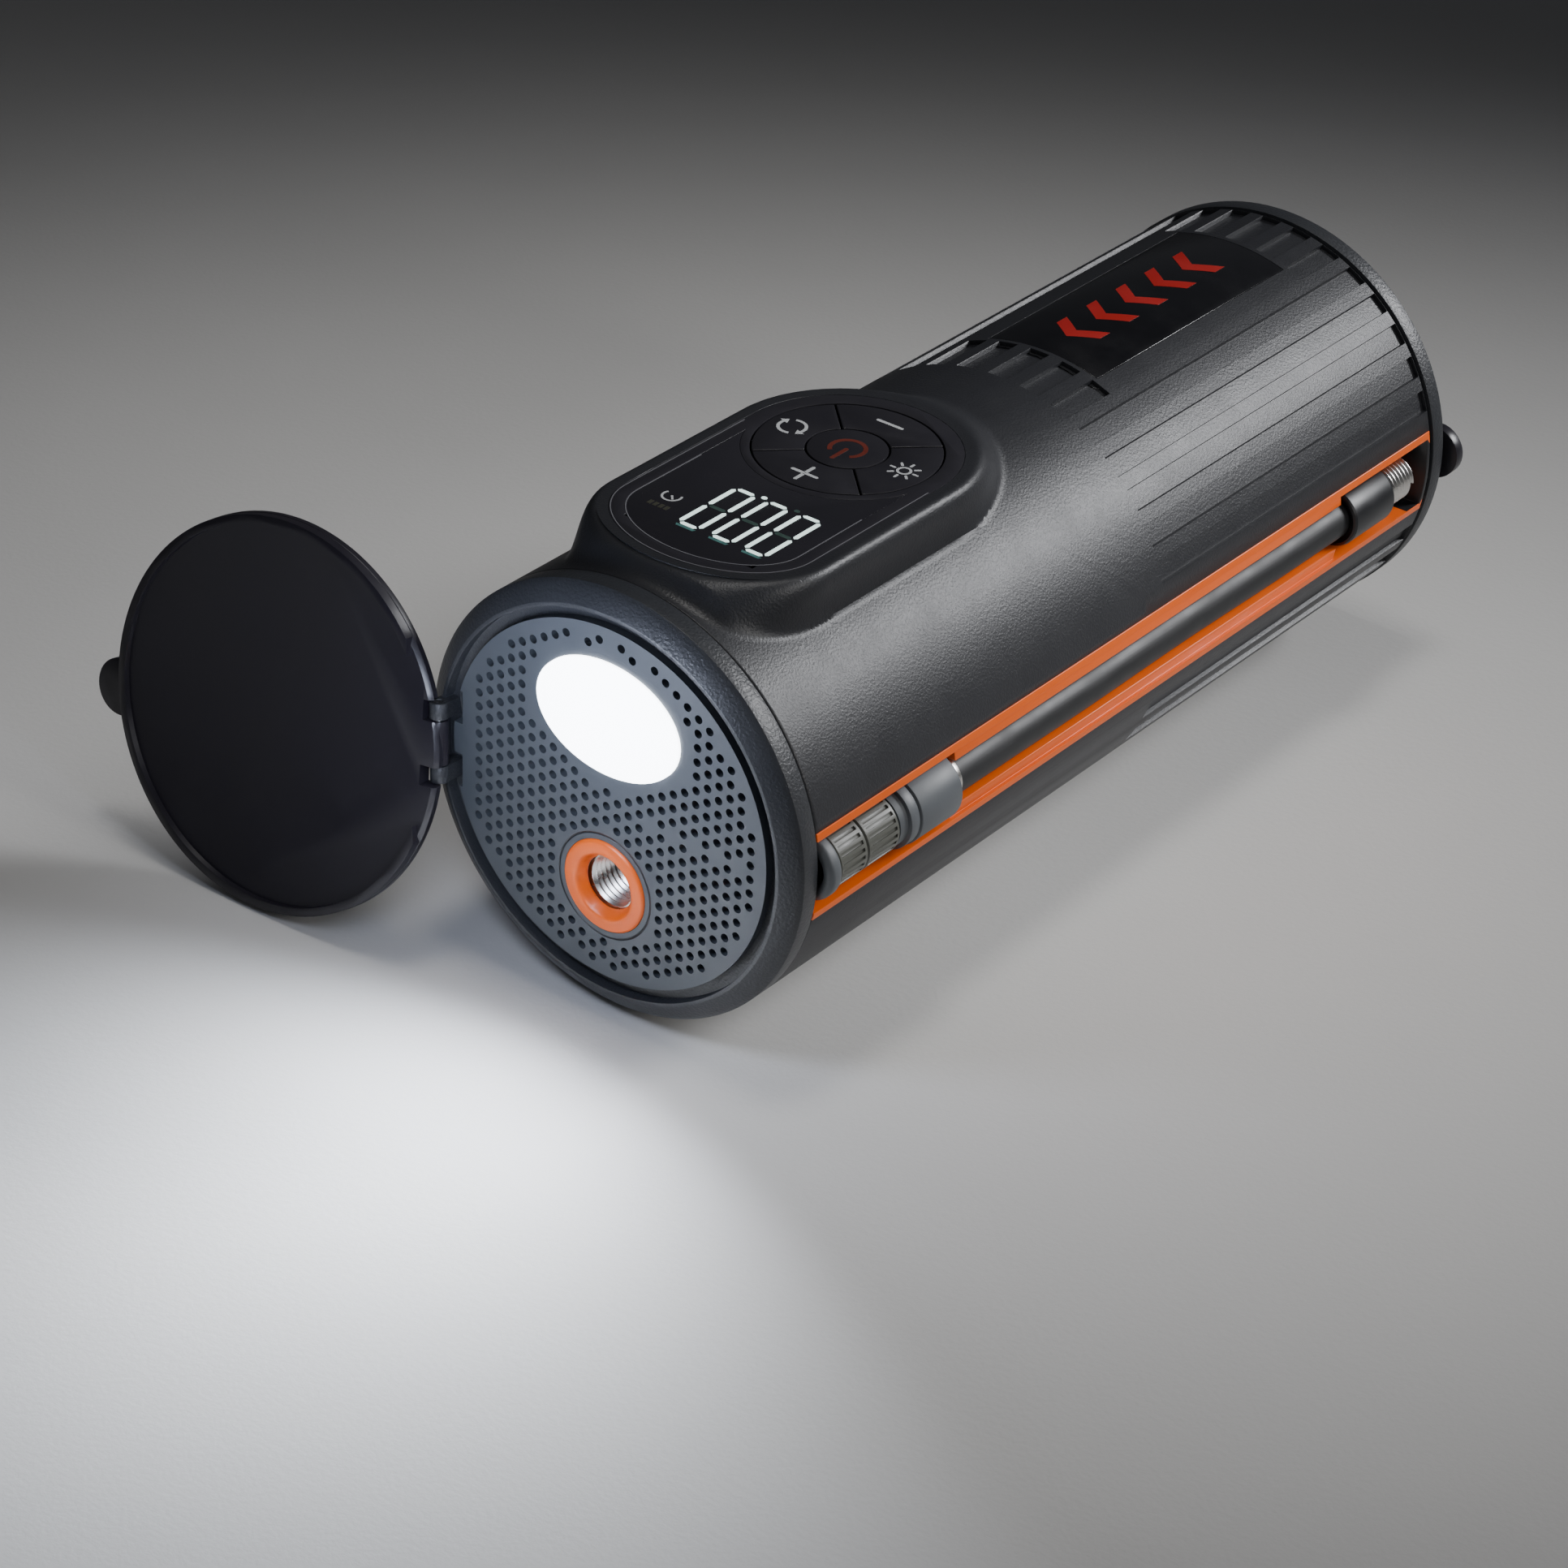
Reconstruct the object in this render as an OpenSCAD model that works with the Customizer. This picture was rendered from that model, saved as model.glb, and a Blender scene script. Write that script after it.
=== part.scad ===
// Cordless tyre inflator: a round body lying on its side, with a torch and an air outlet at
// the front, a control panel on top, a stowed hose in a side channel and a hinged lid at each end.
// Millimetres. X is across the body (the hose is on +X), Y runs from front to rear, Z is up.
// The origin is on the underside of the base pad, halfway along the body.

/* [Body] */
// Outer radius of the round body
body_r = 40; // [38:0.5:48]
// Length between the outer edges of the two end rings
body_len = 200.4; // [196:0.2:242]
// Wall thickness of the two body shells
shell_wall = 2.6; // [2.1:0.1:3.2]
// How far the base pad holds the body off the ground
pad_stand = 2.2; // [2.1:0.1:4]
// Width of the base pad
pad_w = 24; // [18:1:30]
// Distance of each end of the base pad from the body's end
pad_inset = 30; // [20:1:45]

/* [End rings and lids] */
// Length of an end ring's outer band
ring_len = 4.5; // [4:0.1:6]
// Extra radius of the rear ring over the body
rear_flare = 0.2; // [0:0.05:0.6]
// How far the crest of a ring stands out beyond its outer edge
crest_h = 1.6; // [1:0.1:2]
// Thickness of a lid's disc
lid_t = 2.6; // [2:0.1:3.4]
// Radius of a lid's half-round pull tab
tab_r = 5.3; // [4:0.1:7]
// Angle that a lid turns through from closed to open
lid_open = 177; // [170:1:179]
// Forward tilt of the front lid's hinge axis, as a slope along X
front_tilt_x = -0.105; // [-0.11:0.005:0]
// Sideways tilt of the front lid's hinge axis, as a slope along Y
front_tilt_y = 0.10; // [0:0.01:0.11]
// Radius of a lid's hinge pin
pin_r = 0.8; // [0.7:0.05:0.9]

/* [Torch and outlet] */
// Half width of the torch window
torch_a = 15.2; // [12:0.2:16.4]
// Half height of the torch window
torch_b = 10.6; // [8:0.2:11]
// Height of the torch window above the body's axis
torch_z = 16.9; // [16:0.1:18]
// Depth of the outlet below the body's axis
outlet_drop = 15.8; // [15:0.1:17]
// Outer radius of the orange outlet ring
outlet_ring_r = 8.7; // [8:0.1:9.4]
// Radius of the threaded outlet hole
outlet_bore_r = 4.7; // [4:0.1:5]
// Length of the threaded outlet hole
outlet_len = 14; // [10:0.5:16]
// Radius of a grille hole
grille_hole_r = 0.78; // [0.6:0.02:0.9]
// Distance between neighbouring grille holes
grille_pitch = 2.7; // [2.5:0.05:4]

/* [Control panel] */
// Height of the panel's flat top above the body radius
panel_rise = 2.5; // [2:0.1:4]
// Half width of the panel
panel_w = 20; // [19:0.25:22]
// Distance of the panel's front edge from the body's front
panel_front = 11.5; // [11:0.5:13]
// Depth of the panel's rounded front
panel_nose = 14.5; // [12:0.5:16]
// Distance of the key pad's centre from the body's front
key_y = 61.5; // [60:0.5:64]
// Outer radius of the ring of four keys
key_ring_r = 16.4; // [15:0.1:16.8]
// Radius of the power key
power_key_r = 7.05; // [6:0.05:8]
// Gap around each key
key_gap = 0.35; // [0.3:0.01:0.45]
// Travel of each key
key_travel = 0.4; // [0.3:0.05:0.5]

/* [Grip] */
// Distance of the grip's front end from the body's front
grip_front = 105.4; // [104:0.2:120]
// Angle between neighbouring flutes
flute_step = 9.9; // [9.9:0.1:12]
// Width of a flute
flute_w = 4.1; // [3:0.1:4.4]
// Depth of a flute
flute_depth = 0.8; // [0.5:0.1:1]
// Length of the short flutes at each end of the label
stub_len = 13; // [8:0.5:16]

/* [Hose channel] */
// Half height of the channel's opening in the body
channel_h = 8.4; // [8:0.1:9]
// Thickness of the channel liner's walls
liner_wall = 1.5; // [1.2:0.1:1.8]
// Depth of the hose's axis below the body's surface
hose_inset = 4.1; // [4:0.1:6.8]
// Outer radius of the hose
hose_r = 4.2; // [3.8:0.1:4.4]
// Bore radius of the hose
hose_bore_r = 2.4; // [1.8:0.1:2.8]
// Rear end of the front pocket, which holds the valve chuck
front_pocket_end = 42.9; // [42.5:0.1:60]
// Length of the rear pocket, which holds the threaded fitting
rear_pocket_len = 30.6; // [28:0.1:40]
// Outer radius of the valve chuck
chuck_r = 6.6; // [6:0.1:6.7]
// Bore radius of the valve socket
valve_bore_r = 3.9; // [3.4:0.1:4]

/* [Pump] */
// Module of the pump's gear teeth
gear_module = 0.8; // [0.7:0.05:0.85]
// Teeth on the motor pinion
pinion_teeth = 10; // [10:1:11]
// Teeth on the crank gear
crank_teeth = 30; // [28:1:30]
// Face width of both gears
gear_w = 5; // [4:0.2:5.4]
// Throw of the crank
crank_throw = 4.5; // [4:0.1:4.6]
// Length of the connecting rod between its two centres
rod_len = 24; // [23.5:0.1:24.5]
// Bore radius of the pump cylinder
pump_bore_r = 7; // [6:0.1:7.4]
// Wall of the pump cylinder
pump_wall = 1.2; // [1:0.1:1.6]
// Radius of the motor
motor_r = 12; // [10:0.2:12.2]
// Length of the motor can
motor_len = 32; // [26:1:34]

/* [Battery] */
// Radius of a battery cell
cell_r = 9.1; // [8.5:0.05:9.25]
// Length of a battery cell
cell_len = 65; // [60:1:70]
// Distance between neighbouring cells
cell_pitch = 19.4; // [18.8:0.1:20]

/* [Hidden] */

$fn = 96;

// clearances
slip = 0.05;         // radial gap of a running fit
fit_gap = 0.1;       // gap between two pieces fixed to each other
seam = 0.1;          // visible seam between neighbouring housings

// main positions
axis_z = body_r + pad_stand;
inner_r = body_r - shell_wall;
front_shift = -body_len / 2;
shell_y0 = ring_len;
shell_y1 = body_len - 5.4;

// ring profile, from the outside in
band_chamfer = 0.9;
crest_r = body_r - 3.4;
groove_r = body_r - 4.1;
plate_r = body_r - 6.3;
plate_front = -1.1;
seat_y = 0.6;
seat_t = 2.4;
seat_bore_r = plate_r - 3.2;
spigot_end = 9;
spigot_t = 2;
spigot_r = inner_r - fit_gap;

// lids, drawn closed; the front one clears the outlet ring's face
outlet_face = -1.6;
lid_r = groove_r - 0.2;
lid_in = outlet_face - fit_gap;
lid_out = lid_in - lid_t;
lip_in = -0.5;
lip_w = 1.5;
tab_reach = body_r + 1.8;
hinge_x = -(body_r - 5.6);
hinge_y = (lid_in + lid_out) / 2 - 1;
knuckle_r = 1.65;
knuckle_half = 4;
front_hinge_axis = [front_tilt_x, front_tilt_y, 1];

// outlet
insert_wall = 1.3;
insert_front = seat_y;
insert_end = insert_front + outlet_len;

// panel
panel_z = body_r + panel_rise;
panel_t = 1.4;
window_t = 0.5;
nose_y = panel_front + panel_nose;
key_bottom = panel_z - panel_t - 0.1;
stem_bottom = key_bottom - 0.5;
stem_r = 1.6;
board_t = 1.6;
mat_t = 1;
mat_top = stem_bottom - key_travel - 0.1;
board_top = mat_top - mat_t;

// grip
grip_rear = shell_y1 - 0.1;
flute_first = 90 - 7 * flute_step;
label_y0 = grip_front + stub_len + 1;
label_y1 = grip_rear - stub_len - 1.2;
label_half = 1.75 * flute_step;
label_t = 0.6;

// hose channel
hose_x = body_r - hose_inset;
liner_h = channel_h - slip;
pocket_h = liner_h - liner_wall;
liner_y0 = shell_y0 + seam;
liner_y1 = shell_y1 - seam;
pocket_floor = hose_x - chuck_r - 0.6;
liner_x0 = pocket_floor - 1.2;
rear_pocket_y = liner_y1 - rear_pocket_len;
hose_groove = hose_r + 0.4;

// valve chuck, from front to rear
chuck_y0 = shell_y0 + 1.1;
end_ring_len = 3;
nut_y0 = chuck_y0 + end_ring_len;
nut_y1 = nut_y0 + 16.3;
nut_split = nut_y0 + 7.5;
neck_len = 2.3;
collar_len = 2.5;
sleeve_y0 = nut_y1 + neck_len + collar_len;
sleeve_y1 = front_pocket_end - 1.6;
spigot_chuck_r = 4.6;
socket_depth = 8;
nut_r = chuck_r - 0.9;
nut_ribs = 26;

// rear fitting
nipple_r = outlet_bore_r - 0.15;
nipple_len = 8.3;
ferrule_r = 5.9;
nipple_bore_r = 1.6;
swivel_r = 3;
ferrule_len = 14;
hose_grip = 4;
ferrule_grip = 6;
nipple_y1 = liner_y1 - 6.3;
nipple_y0 = nipple_y1 - nipple_len;
ferrule_y0 = nipple_y0 - ferrule_len;

// pump
pump_x = -6;
pump_y = 41;
pinion_pr = gear_module * pinion_teeth / 2;
crank_pr = gear_module * crank_teeth / 2;
motor_z = -24;
crank_z = motor_z + pinion_pr + crank_pr;
addendum = 0.8;
dedendum = 1.15;
tooth_half = 0.46;
tooth_slant = 0.2;
gear_y0 = 45.5;
gear_y1 = gear_y0 + gear_w;
frame_y0 = gear_y1 + 1;
frame_t = 2.5;
frame_y1 = frame_y0 + frame_t;
motor_y1 = frame_y1 + motor_len;
shaft_r = 1.2;
crank_shaft_r = 2;
pin_z = crank_z - crank_throw;
wrist_z = pin_z + rod_len;
crank_pin_r = 1.5;
rod_t = 4;
shank_w = 3.6;
wrist_r = 2.8;
piston_h = 7;
piston_z0 = wrist_z - 3;
seal_h = 1.4;
seal_w = 1.1;
seal_z = piston_z0 + piston_h - 2.6;
cylinder_z0 = piston_z0 - 1.6;
cylinder_z1 = piston_z0 + piston_h + 2 * crank_throw + 1;
cylinder_r = pump_bore_r + pump_wall;
head_t = 4;
tube_r = 2.4;
tube_y = 24;

// battery
cells_x = -9.5;
cells_y = 100;

// screws that join the shells: [x, y]
screw_r = 1.25;
screw_head_r = 2.4;
boss_r = 3.3;
screw_places = [[-31, 24], [-31, body_len - 22], [18, 24], [18, body_len - 22]];
screw_tip_z = 9;
screw_head_z = -14;

charcoal = "#34373b";
soot = "#1b1c20";
orange = "#e8732a";
steel = "#c8ccd0";

// ---------- helpers ----------

// Puts a piece drawn about the body's axis, with y = 0 at the front edge, into the row frame
module placed() { translate([0, front_shift, axis_z]) children(); }

// Draws an end piece at the rear, facing the other way
module at_rear() { translate([0, body_len, 0]) mirror([0, 1, 0]) children(); }

// Revolves a profile of [radius, y] points about the body's axis
module turned() { rotate([-90, 0, 0]) rotate_extrude() children(); }

// Revolves a profile through the arc from angle a0 to a1, measured from +X up towards +Z
module turned_arc(a0, a1) {
  rotate([-90, 0, 0]) rotate([0, 0, -a1]) rotate_extrude(angle = a1 - a0) children();
}

// A bar along Y
module bar(r, y0, y1, x = 0, z = 0) {
  translate([x, y0, z]) rotate([-90, 0, 0]) cylinder(r = r, h = y1 - y0);
}

// A tube along Y
module pipe_y(r, bore, y0, y1, x = 0, z = 0) {
  translate([x, y0, z]) rotate([-90, 0, 0]) difference() {
    cylinder(r = r, h = y1 - y0);
    translate([0, 0, -1]) cylinder(r = bore, h = y1 - y0 + 2);
  }
}

// An outline drawn in X and Z, extruded from y0 to y1
module slab(y0, y1) { translate([0, y1, 0]) rotate([90, 0, 0]) linear_extrude(y1 - y0) children(); }

// A box from its low corner to its high corner
module block(lo, hi) { translate(lo) cube(hi - lo); }

// Points of an ellipse with half axes a and b
function ellipse(a, b, n = 64) = [for (i = [0:n - 1]) [a * cos(360 * i / n), b * sin(360 * i / n)]];

// The panel's outline: a round rear end about the key pad and a blunt elliptical front
function panel_outline(grow = 0) = concat(
  [for (i = [0:24]) let (t = 180 * i / 24)
    [(panel_w + grow) * cos(t), key_y + (panel_w + grow) * sin(t)]],
  [for (i = [0:24]) let (t = 180 + 180 * i / 24)
    [(panel_w + grow) * cos(t), nose_y + (panel_nose + grow) * sin(t)]]
);

// A plain straight-flanked gear outline, four points a tooth; half is half a tooth at the pitch
// line and slant is how much a flank leans, both as shares of half the tooth pitch
function gear_points(teeth, tip, root, half, slant) = [
  for (i = [0:teeth - 1],
       c = [[root, -half - slant], [tip, slant - half], [tip, half - slant], [root, half + slant]])
    let (a = 360 / teeth * (i + c[1] / 2)) [c[0] * cos(a), c[0] * sin(a)]
];

module gear(teeth, w) {
  pr = gear_module * teeth / 2;
  tip = pr + addendum * gear_module;
  root = pr - dedendum * gear_module;
  linear_extrude(w) polygon(gear_points(teeth, tip, root, tooth_half, tooth_slant));
}

// A pipe that follows a list of points
module pipe(path, r) {
  for (i = [0:len(path) - 2]) {
    run = path[i + 1] - path[i];
    translate(path[i])
      rotate([0, acos(run[2] / norm(run)), atan2(run[1], run[0])])
        cylinder(r = r, h = norm(run), $fn = 32);
    if (i > 0) translate(path[i]) sphere(r = r, $fn = 32);
  }
}

// Turns a closed lid about its hinge axis
module swung(angle, axis) {
  translate([hinge_x, hinge_y, 0]) rotate(a = angle, v = axis) translate([-hinge_x, -hinge_y, 0])
    children();
}

// Stands a piece that is drawn along Z on the hinge axis
module on_hinge(axis) {
  translate([hinge_x, hinge_y, 0])
    rotate([-asin(axis[1] / norm(axis)), atan2(axis[0], axis[2]), 0]) children();
}

// ---------- shells ----------

module flute(angle, y0, y1) {
  rotate([0, -angle, 0])
    translate([body_r - flute_depth, y0, -flute_w / 2]) cube([flute_depth + 3, y1 - y0, flute_w]);
}

module upper_flutes() {
  for (k = [0:15]) {
    angle = flute_first + k * flute_step;
    if (abs(angle - 90) > label_half + flute_step / 2 && angle < 172) flute(angle, grip_front, grip_rear);
    else if (angle < 172) {
      flute(angle, grip_front, grip_front + stub_len);
      flute(angle, grip_rear - stub_len, grip_rear);
    }
  }
}

module lower_flutes() {
  for (k = [0:15]) {
    angle = -(flute_first + k * flute_step);
    if (abs(angle + 90) > 22 && angle > -172) flute(angle, grip_front, grip_rear);
  }
}

module channel_cut() { block([liner_x0 - slip, 0, -channel_h], [body_r + 5, body_len, channel_h]); }

module platform() {
  hull() {
    translate([0, 0, panel_z - 0.5]) linear_extrude(0.5) polygon(panel_outline(2));
    translate([0, 0, panel_z - 3]) linear_extrude(0.5) polygon(panel_outline(3.6));
    translate([0, 0, body_r * 0.62]) linear_extrude(0.5)
      polygon(panel_outline(min(6, panel_front - shell_y0)));
  }
}

module label_band(r0, r1, grow) {
  turned_arc(90 - label_half - grow, 90 + label_half + grow)
    translate([r0, label_y0 - grow]) square([r1 - r0, label_y1 - label_y0 + 2 * grow]);
}

module upper_shell() {
  color(charcoal) placed() {
    difference() {
      union() {
        bar(body_r, shell_y0, shell_y1);
        intersection() {
          platform();
          block([-body_r, shell_y0, 0], [body_r, shell_y1, panel_z]);
        }
      }
      bar(inner_r, 0, body_len);
      block([-body_r - 1, -1, -body_r - 1], [body_r + 1, body_len + 1, 0]);
      channel_cut();
      upper_flutes();
      translate([0, 0, panel_z - panel_t]) linear_extrude(panel_t + 1) polygon(panel_outline(slip));
      translate([0, 0, body_r * 0.6]) linear_extrude(body_r) polygon(panel_outline(-2));
      label_band(body_r - label_t, body_r + 1, slip);
    }
    for (p = screw_places) difference() {
      intersection() {
        translate([p[0], p[1], 0]) cylinder(r = boss_r, h = body_r);
        bar(inner_r + shell_wall / 2, 0, body_len);
      }
      translate([p[0], p[1], -1]) cylinder(r = screw_r - 0.1, h = screw_tip_z + 2);
    }
  }
}

module lower_shell() {
  color(charcoal) placed() difference() {
    union() {
      difference() {
        bar(body_r, shell_y0, shell_y1);
        bar(inner_r, 0, body_len);
        block([-body_r - 1, -1, 0], [body_r + 1, body_len + 1, body_r + 1]);
        channel_cut();
        lower_flutes();
      }
      for (p = screw_places) intersection() {
        translate([p[0], p[1], -body_r]) cylinder(r = boss_r + 0.8, h = body_r - fit_gap);
        bar(inner_r + shell_wall / 2, 0, body_len);
      }
    }
    for (p = screw_places) translate([p[0], p[1], 0]) {
      translate([0, 0, -body_r]) cylinder(r = screw_r + 0.15, h = body_r + 1);
      translate([0, 0, -body_r - 1]) cylinder(r = screw_head_r + 0.2, h = body_r + 1 + screw_head_z);
    }
  }
}

module shell_screws() {
  color(steel) placed() for (p = screw_places) translate([p[0], p[1], 0]) {
    translate([0, 0, screw_head_z]) cylinder(r = screw_r - 0.15, h = screw_tip_z - screw_head_z);
    translate([0, 0, screw_head_z - 2]) difference() {
      cylinder(r = screw_head_r, h = 2);
      translate([0, 0, -1]) cylinder(r = 1, h = 2, $fn = 6);
    }
  }
}

module base_pad() {
  round_y0 = pad_inset + pad_w / 2;
  round_y1 = body_len - round_y0;
  color(soot) placed() difference() {
    translate([0, 0, -axis_z]) linear_extrude(axis_z - body_r * 0.9) union() {
      translate([-pad_w / 2, round_y0]) square([pad_w, round_y1 - round_y0]);
      for (y = [round_y0, round_y1]) translate([0, y]) circle(r = pad_w / 2);
    }
    bar(body_r, 0, body_len);
  }
}

module label_plate() {
  color("#0e0e11") placed() label_band(body_r - label_t + slip, body_r, -slip);
}

// ---------- end rings, lids and what they hold ----------

module ring_body(band_r) {
  difference() {
    turned() polygon([
      [band_r, ring_len - seam], [band_r, band_chamfer], [band_r - band_chamfer, 0],
      [crest_r, -crest_h], [groove_r, -crest_h], [groove_r, seat_y], [seat_bore_r, seat_y],
      [seat_bore_r, seat_y + seat_t], [spigot_r - spigot_t, seat_y + seat_t],
      [spigot_r - spigot_t, spigot_end], [spigot_r, spigot_end], [spigot_r, ring_len - seam]
    ]);
    block(
      [liner_x0 - 0.4, ring_len - seam, -channel_h - 0.2],
      [body_r + 1, spigot_end + 1, channel_h + 0.2]
    );
  }
}

// The two fixed ears of a lid's hinge, rising from the ring's seat
module hinge_ears(axis) {
  difference() {
    union() {
      for (side = [-1, 1]) on_hinge(axis) {
        z0 = side > 0 ? knuckle_half + 0.3 : -knuckle_half - 0.3 - 3;
        translate([0, 0, z0]) cylinder(r = knuckle_r, h = 3, $fn = 48);
        translate([-knuckle_r + 0.25, 0, z0]) cube([2 * knuckle_r - 0.5, seat_y - hinge_y + 1, 3]);
      }
    }
    on_hinge(axis) translate([0, 0, -10]) cylinder(r = pin_r, h = 20, $fn = 48);
  }
}

// Room in the lid for the ears and the pin
module hinge_room(axis) {
  on_hinge(axis) for (side = [-1, 1]) {
    z0 = side > 0 ? knuckle_half : -knuckle_half - 3.6;
    translate([-8, -4, z0]) cube([8 + knuckle_r + 0.45, 12, 3.6]);
  }
}

module hinge_pin(axis) {
  half = knuckle_half + 3.2;
  on_hinge(axis) translate([0, 0, -half]) cylinder(r = pin_r - 0.02, h = 2 * half, $fn = 48);
}

// A lid drawn closed, its outer face towards -Y
module lid(axis) {
  difference() {
    union() {
      turned() polygon([
        [0, lid_out], [lid_r - 0.8, lid_out], [lid_r, lid_out + 0.8],
        [lid_r, lid_in - 0.7], [lid_r - 0.7, lid_in], [0, lid_in]
      ]);
      intersection() {
        turned() translate([lid_r - 0.1 - lip_w, lid_in - 0.8]) square([lip_w, lip_in - lid_in + 0.8]);
        block([-lid_r * 0.86, -9, -body_r], [body_r, 9, body_r]);
      }
      slab(lid_out, lid_in - 0.4) {
        translate([tab_reach - tab_r, 0]) circle(r = tab_r);
        translate([lid_r - 4, -tab_r]) square([tab_reach - tab_r - lid_r + 4, 2 * tab_r]);
      }
      on_hinge(axis) translate([0, 0, -knuckle_half])
        cylinder(r = knuckle_r, h = 2 * knuckle_half, $fn = 48);
    }
    hinge_room(axis);
    on_hinge(axis) translate([0, 0, -10]) cylinder(r = pin_r + slip, h = 20, $fn = 48);
  }
}

module front_ring() { color("#3d4145") placed() { ring_body(body_r); hinge_ears(front_hinge_axis); } }

module front_lid() { color(soot) placed() swung(-lid_open, front_hinge_axis) lid(front_hinge_axis); }

module front_lid_pin() { color(steel) placed() hinge_pin(front_hinge_axis); }

module rear_ring() {
  color("#3d4145") placed() at_rear() { ring_body(body_r + rear_flare); hinge_ears([0, 0, 1]); }
}

module rear_lid() { color(soot) placed() at_rear() lid([0, 0, 1]); }

module rear_lid_pin() { color(steel) placed() at_rear() hinge_pin([0, 0, 1]); }

// Centres of the grille holes: staggered columns, clear of the rim, the torch and the outlet,
// with one plain row towards the hose side
plain_row_x = 5;
grille_cols = ceil(plate_r / (grille_pitch * sin(60)));
grille_rows = ceil(plate_r / grille_pitch);
function grille_clear(p) =
  norm(p) < plate_r - 2.2
  && norm([p[0] / (torch_a + 2.6), (p[1] - torch_z) / (torch_b + 2.6)]) > 1
  && norm([p[0], p[1] + outlet_drop]) > outlet_ring_r + 2.4
  && !(p[0] > plain_row_x && abs(p[1]) < grille_pitch / 2)
  && !(p[0] < hinge_x + 6 && abs(p[1]) < 9);
grille_holes = [
  for (i = [-grille_cols:grille_cols], j = [-grille_rows:grille_rows])
    let (p = [i * grille_pitch * sin(60), (j + (i % 2 == 0 ? 0 : 0.5)) * grille_pitch])
      if (grille_clear(p)) p
];

module front_grille() {
  color("#44484d") placed() difference() {
    slab(plate_front, seat_y) difference() {
      circle(r = plate_r);
      translate([0, torch_z]) polygon(ellipse(torch_a + slip, torch_b + slip));
      translate([0, -outlet_drop]) circle(r = outlet_ring_r + slip);
      for (p = grille_holes) translate(p) circle(r = grille_hole_r, $fn = 16);
    }
    for (side = [-1, 1]) block(
      [-body_r, -9, side * (knuckle_half + 2.2) - 3.2],
      [hinge_x + knuckle_r + 1, 9, side * (knuckle_half + 2.2) + 3.2]
    );
  }
}

module torch_lens() {
  color("#eef6f8", 0.5) placed() slab(plate_front - 0.4, seat_y - 0.6)
    translate([0, torch_z]) polygon(ellipse(torch_a, torch_b));
}

module torch_reflector() {
  depth = 15;
  color("#d8dadc") placed() translate([0, seat_y + depth + 0.2, torch_z]) rotate([90, 0, 0]) difference() {
    union() {
      linear_extrude(depth, scale = 2.4) polygon(ellipse((torch_a - 0.6) / 2.4, (torch_b - 0.6) / 2.4, 40));
      translate([0, 0, depth - 1]) linear_extrude(1) polygon(ellipse(torch_a - 0.4, torch_b - 0.4, 40));
    }
    translate([0, 0, -0.01])
      linear_extrude(depth + 0.02, scale = 2.6)
        polygon(ellipse((torch_a - 1.6) / 2.6, (torch_b - 1.6) / 2.6, 40));
  }
}

led_y = seat_y + 15.2;

module led_board() { color("#2f5d3a") placed() bar(8, led_y + 1, led_y + 2.6, 0, torch_z); }

module led_chips() {
  color("#f4e9a0") placed() for (x = [-1.3, 1.3], z = [-1.3, 1.3])
    block([x - 1, led_y, torch_z + z - 1], [x + 1, led_y + 1, torch_z + z + 1]);
}

module outlet_ring() {
  color(orange) placed() translate([0, 0, -outlet_drop]) turned() polygon([
    [outlet_ring_r - 0.4, outlet_face], [outlet_ring_r, outlet_face + 0.4],
    [outlet_ring_r, seat_y], [outlet_bore_r + 0.3, seat_y], [outlet_bore_r + 0.3, seat_y - 0.4],
    [outlet_bore_r + 1.3, outlet_face + 0.2], [outlet_bore_r + 1.6, outlet_face]
  ]);
}

module outlet_insert() {
  color(steel) placed()
    pipe_y(outlet_bore_r + insert_wall, outlet_bore_r, insert_front, insert_end, 0, -outlet_drop);
}

// ---------- rear plate and ports ----------
plate_y = 5;
plate_back_t = 2;
usb_c = [9.4, 3.6];
usb_a = [14.4, 7];
usb_c_place = [-10, 0];
usb_a_place = [8, 0];

module rear_plate() {
  color(soot) placed() at_rear() difference() {
    bar(spigot_r - spigot_t - fit_gap, plate_y, plate_y + plate_back_t);
    block([liner_x0 - 0.4, 0, -channel_h - 0.2], [body_r, 20, channel_h + 0.2]);
    slab(0, 20) {
      translate(usb_c_place) square(usb_c + [fit_gap, fit_gap] * 2, center = true);
      translate(usb_a_place) square(usb_a + [fit_gap, fit_gap] * 2, center = true);
    }
  }
}

module usb_shell(place, size, wall, tongue_h) {
  slab(plate_y - 0.6, plate_y + 14) translate(place) difference() {
    square(size, center = true);
    square(size - [2, 2] * wall, center = true);
  }
  slab(plate_y + 12.5, plate_y + 14) translate(place) square(size - [wall, wall], center = true);
  slab(plate_y + 1, plate_y + 13) translate(place) translate([0, tongue_h])
    square([size[0] - 2 * wall - 2, size[1] * 0.22], center = true);
}

module usb_c_port() { color(steel) placed() at_rear() usb_shell(usb_c_place, usb_c, 0.35, 0); }

module usb_a_port() { color(steel) placed() at_rear() usb_shell(usb_a_place, usb_a, 0.4, 1.2); }

module port_board() {
  color("#2f5d3a") placed() at_rear() block([-22, plate_y + 14, -12], [14, plate_y + 15.6, 12]);
}

// ---------- hose channel, hose and chuck ----------

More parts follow.
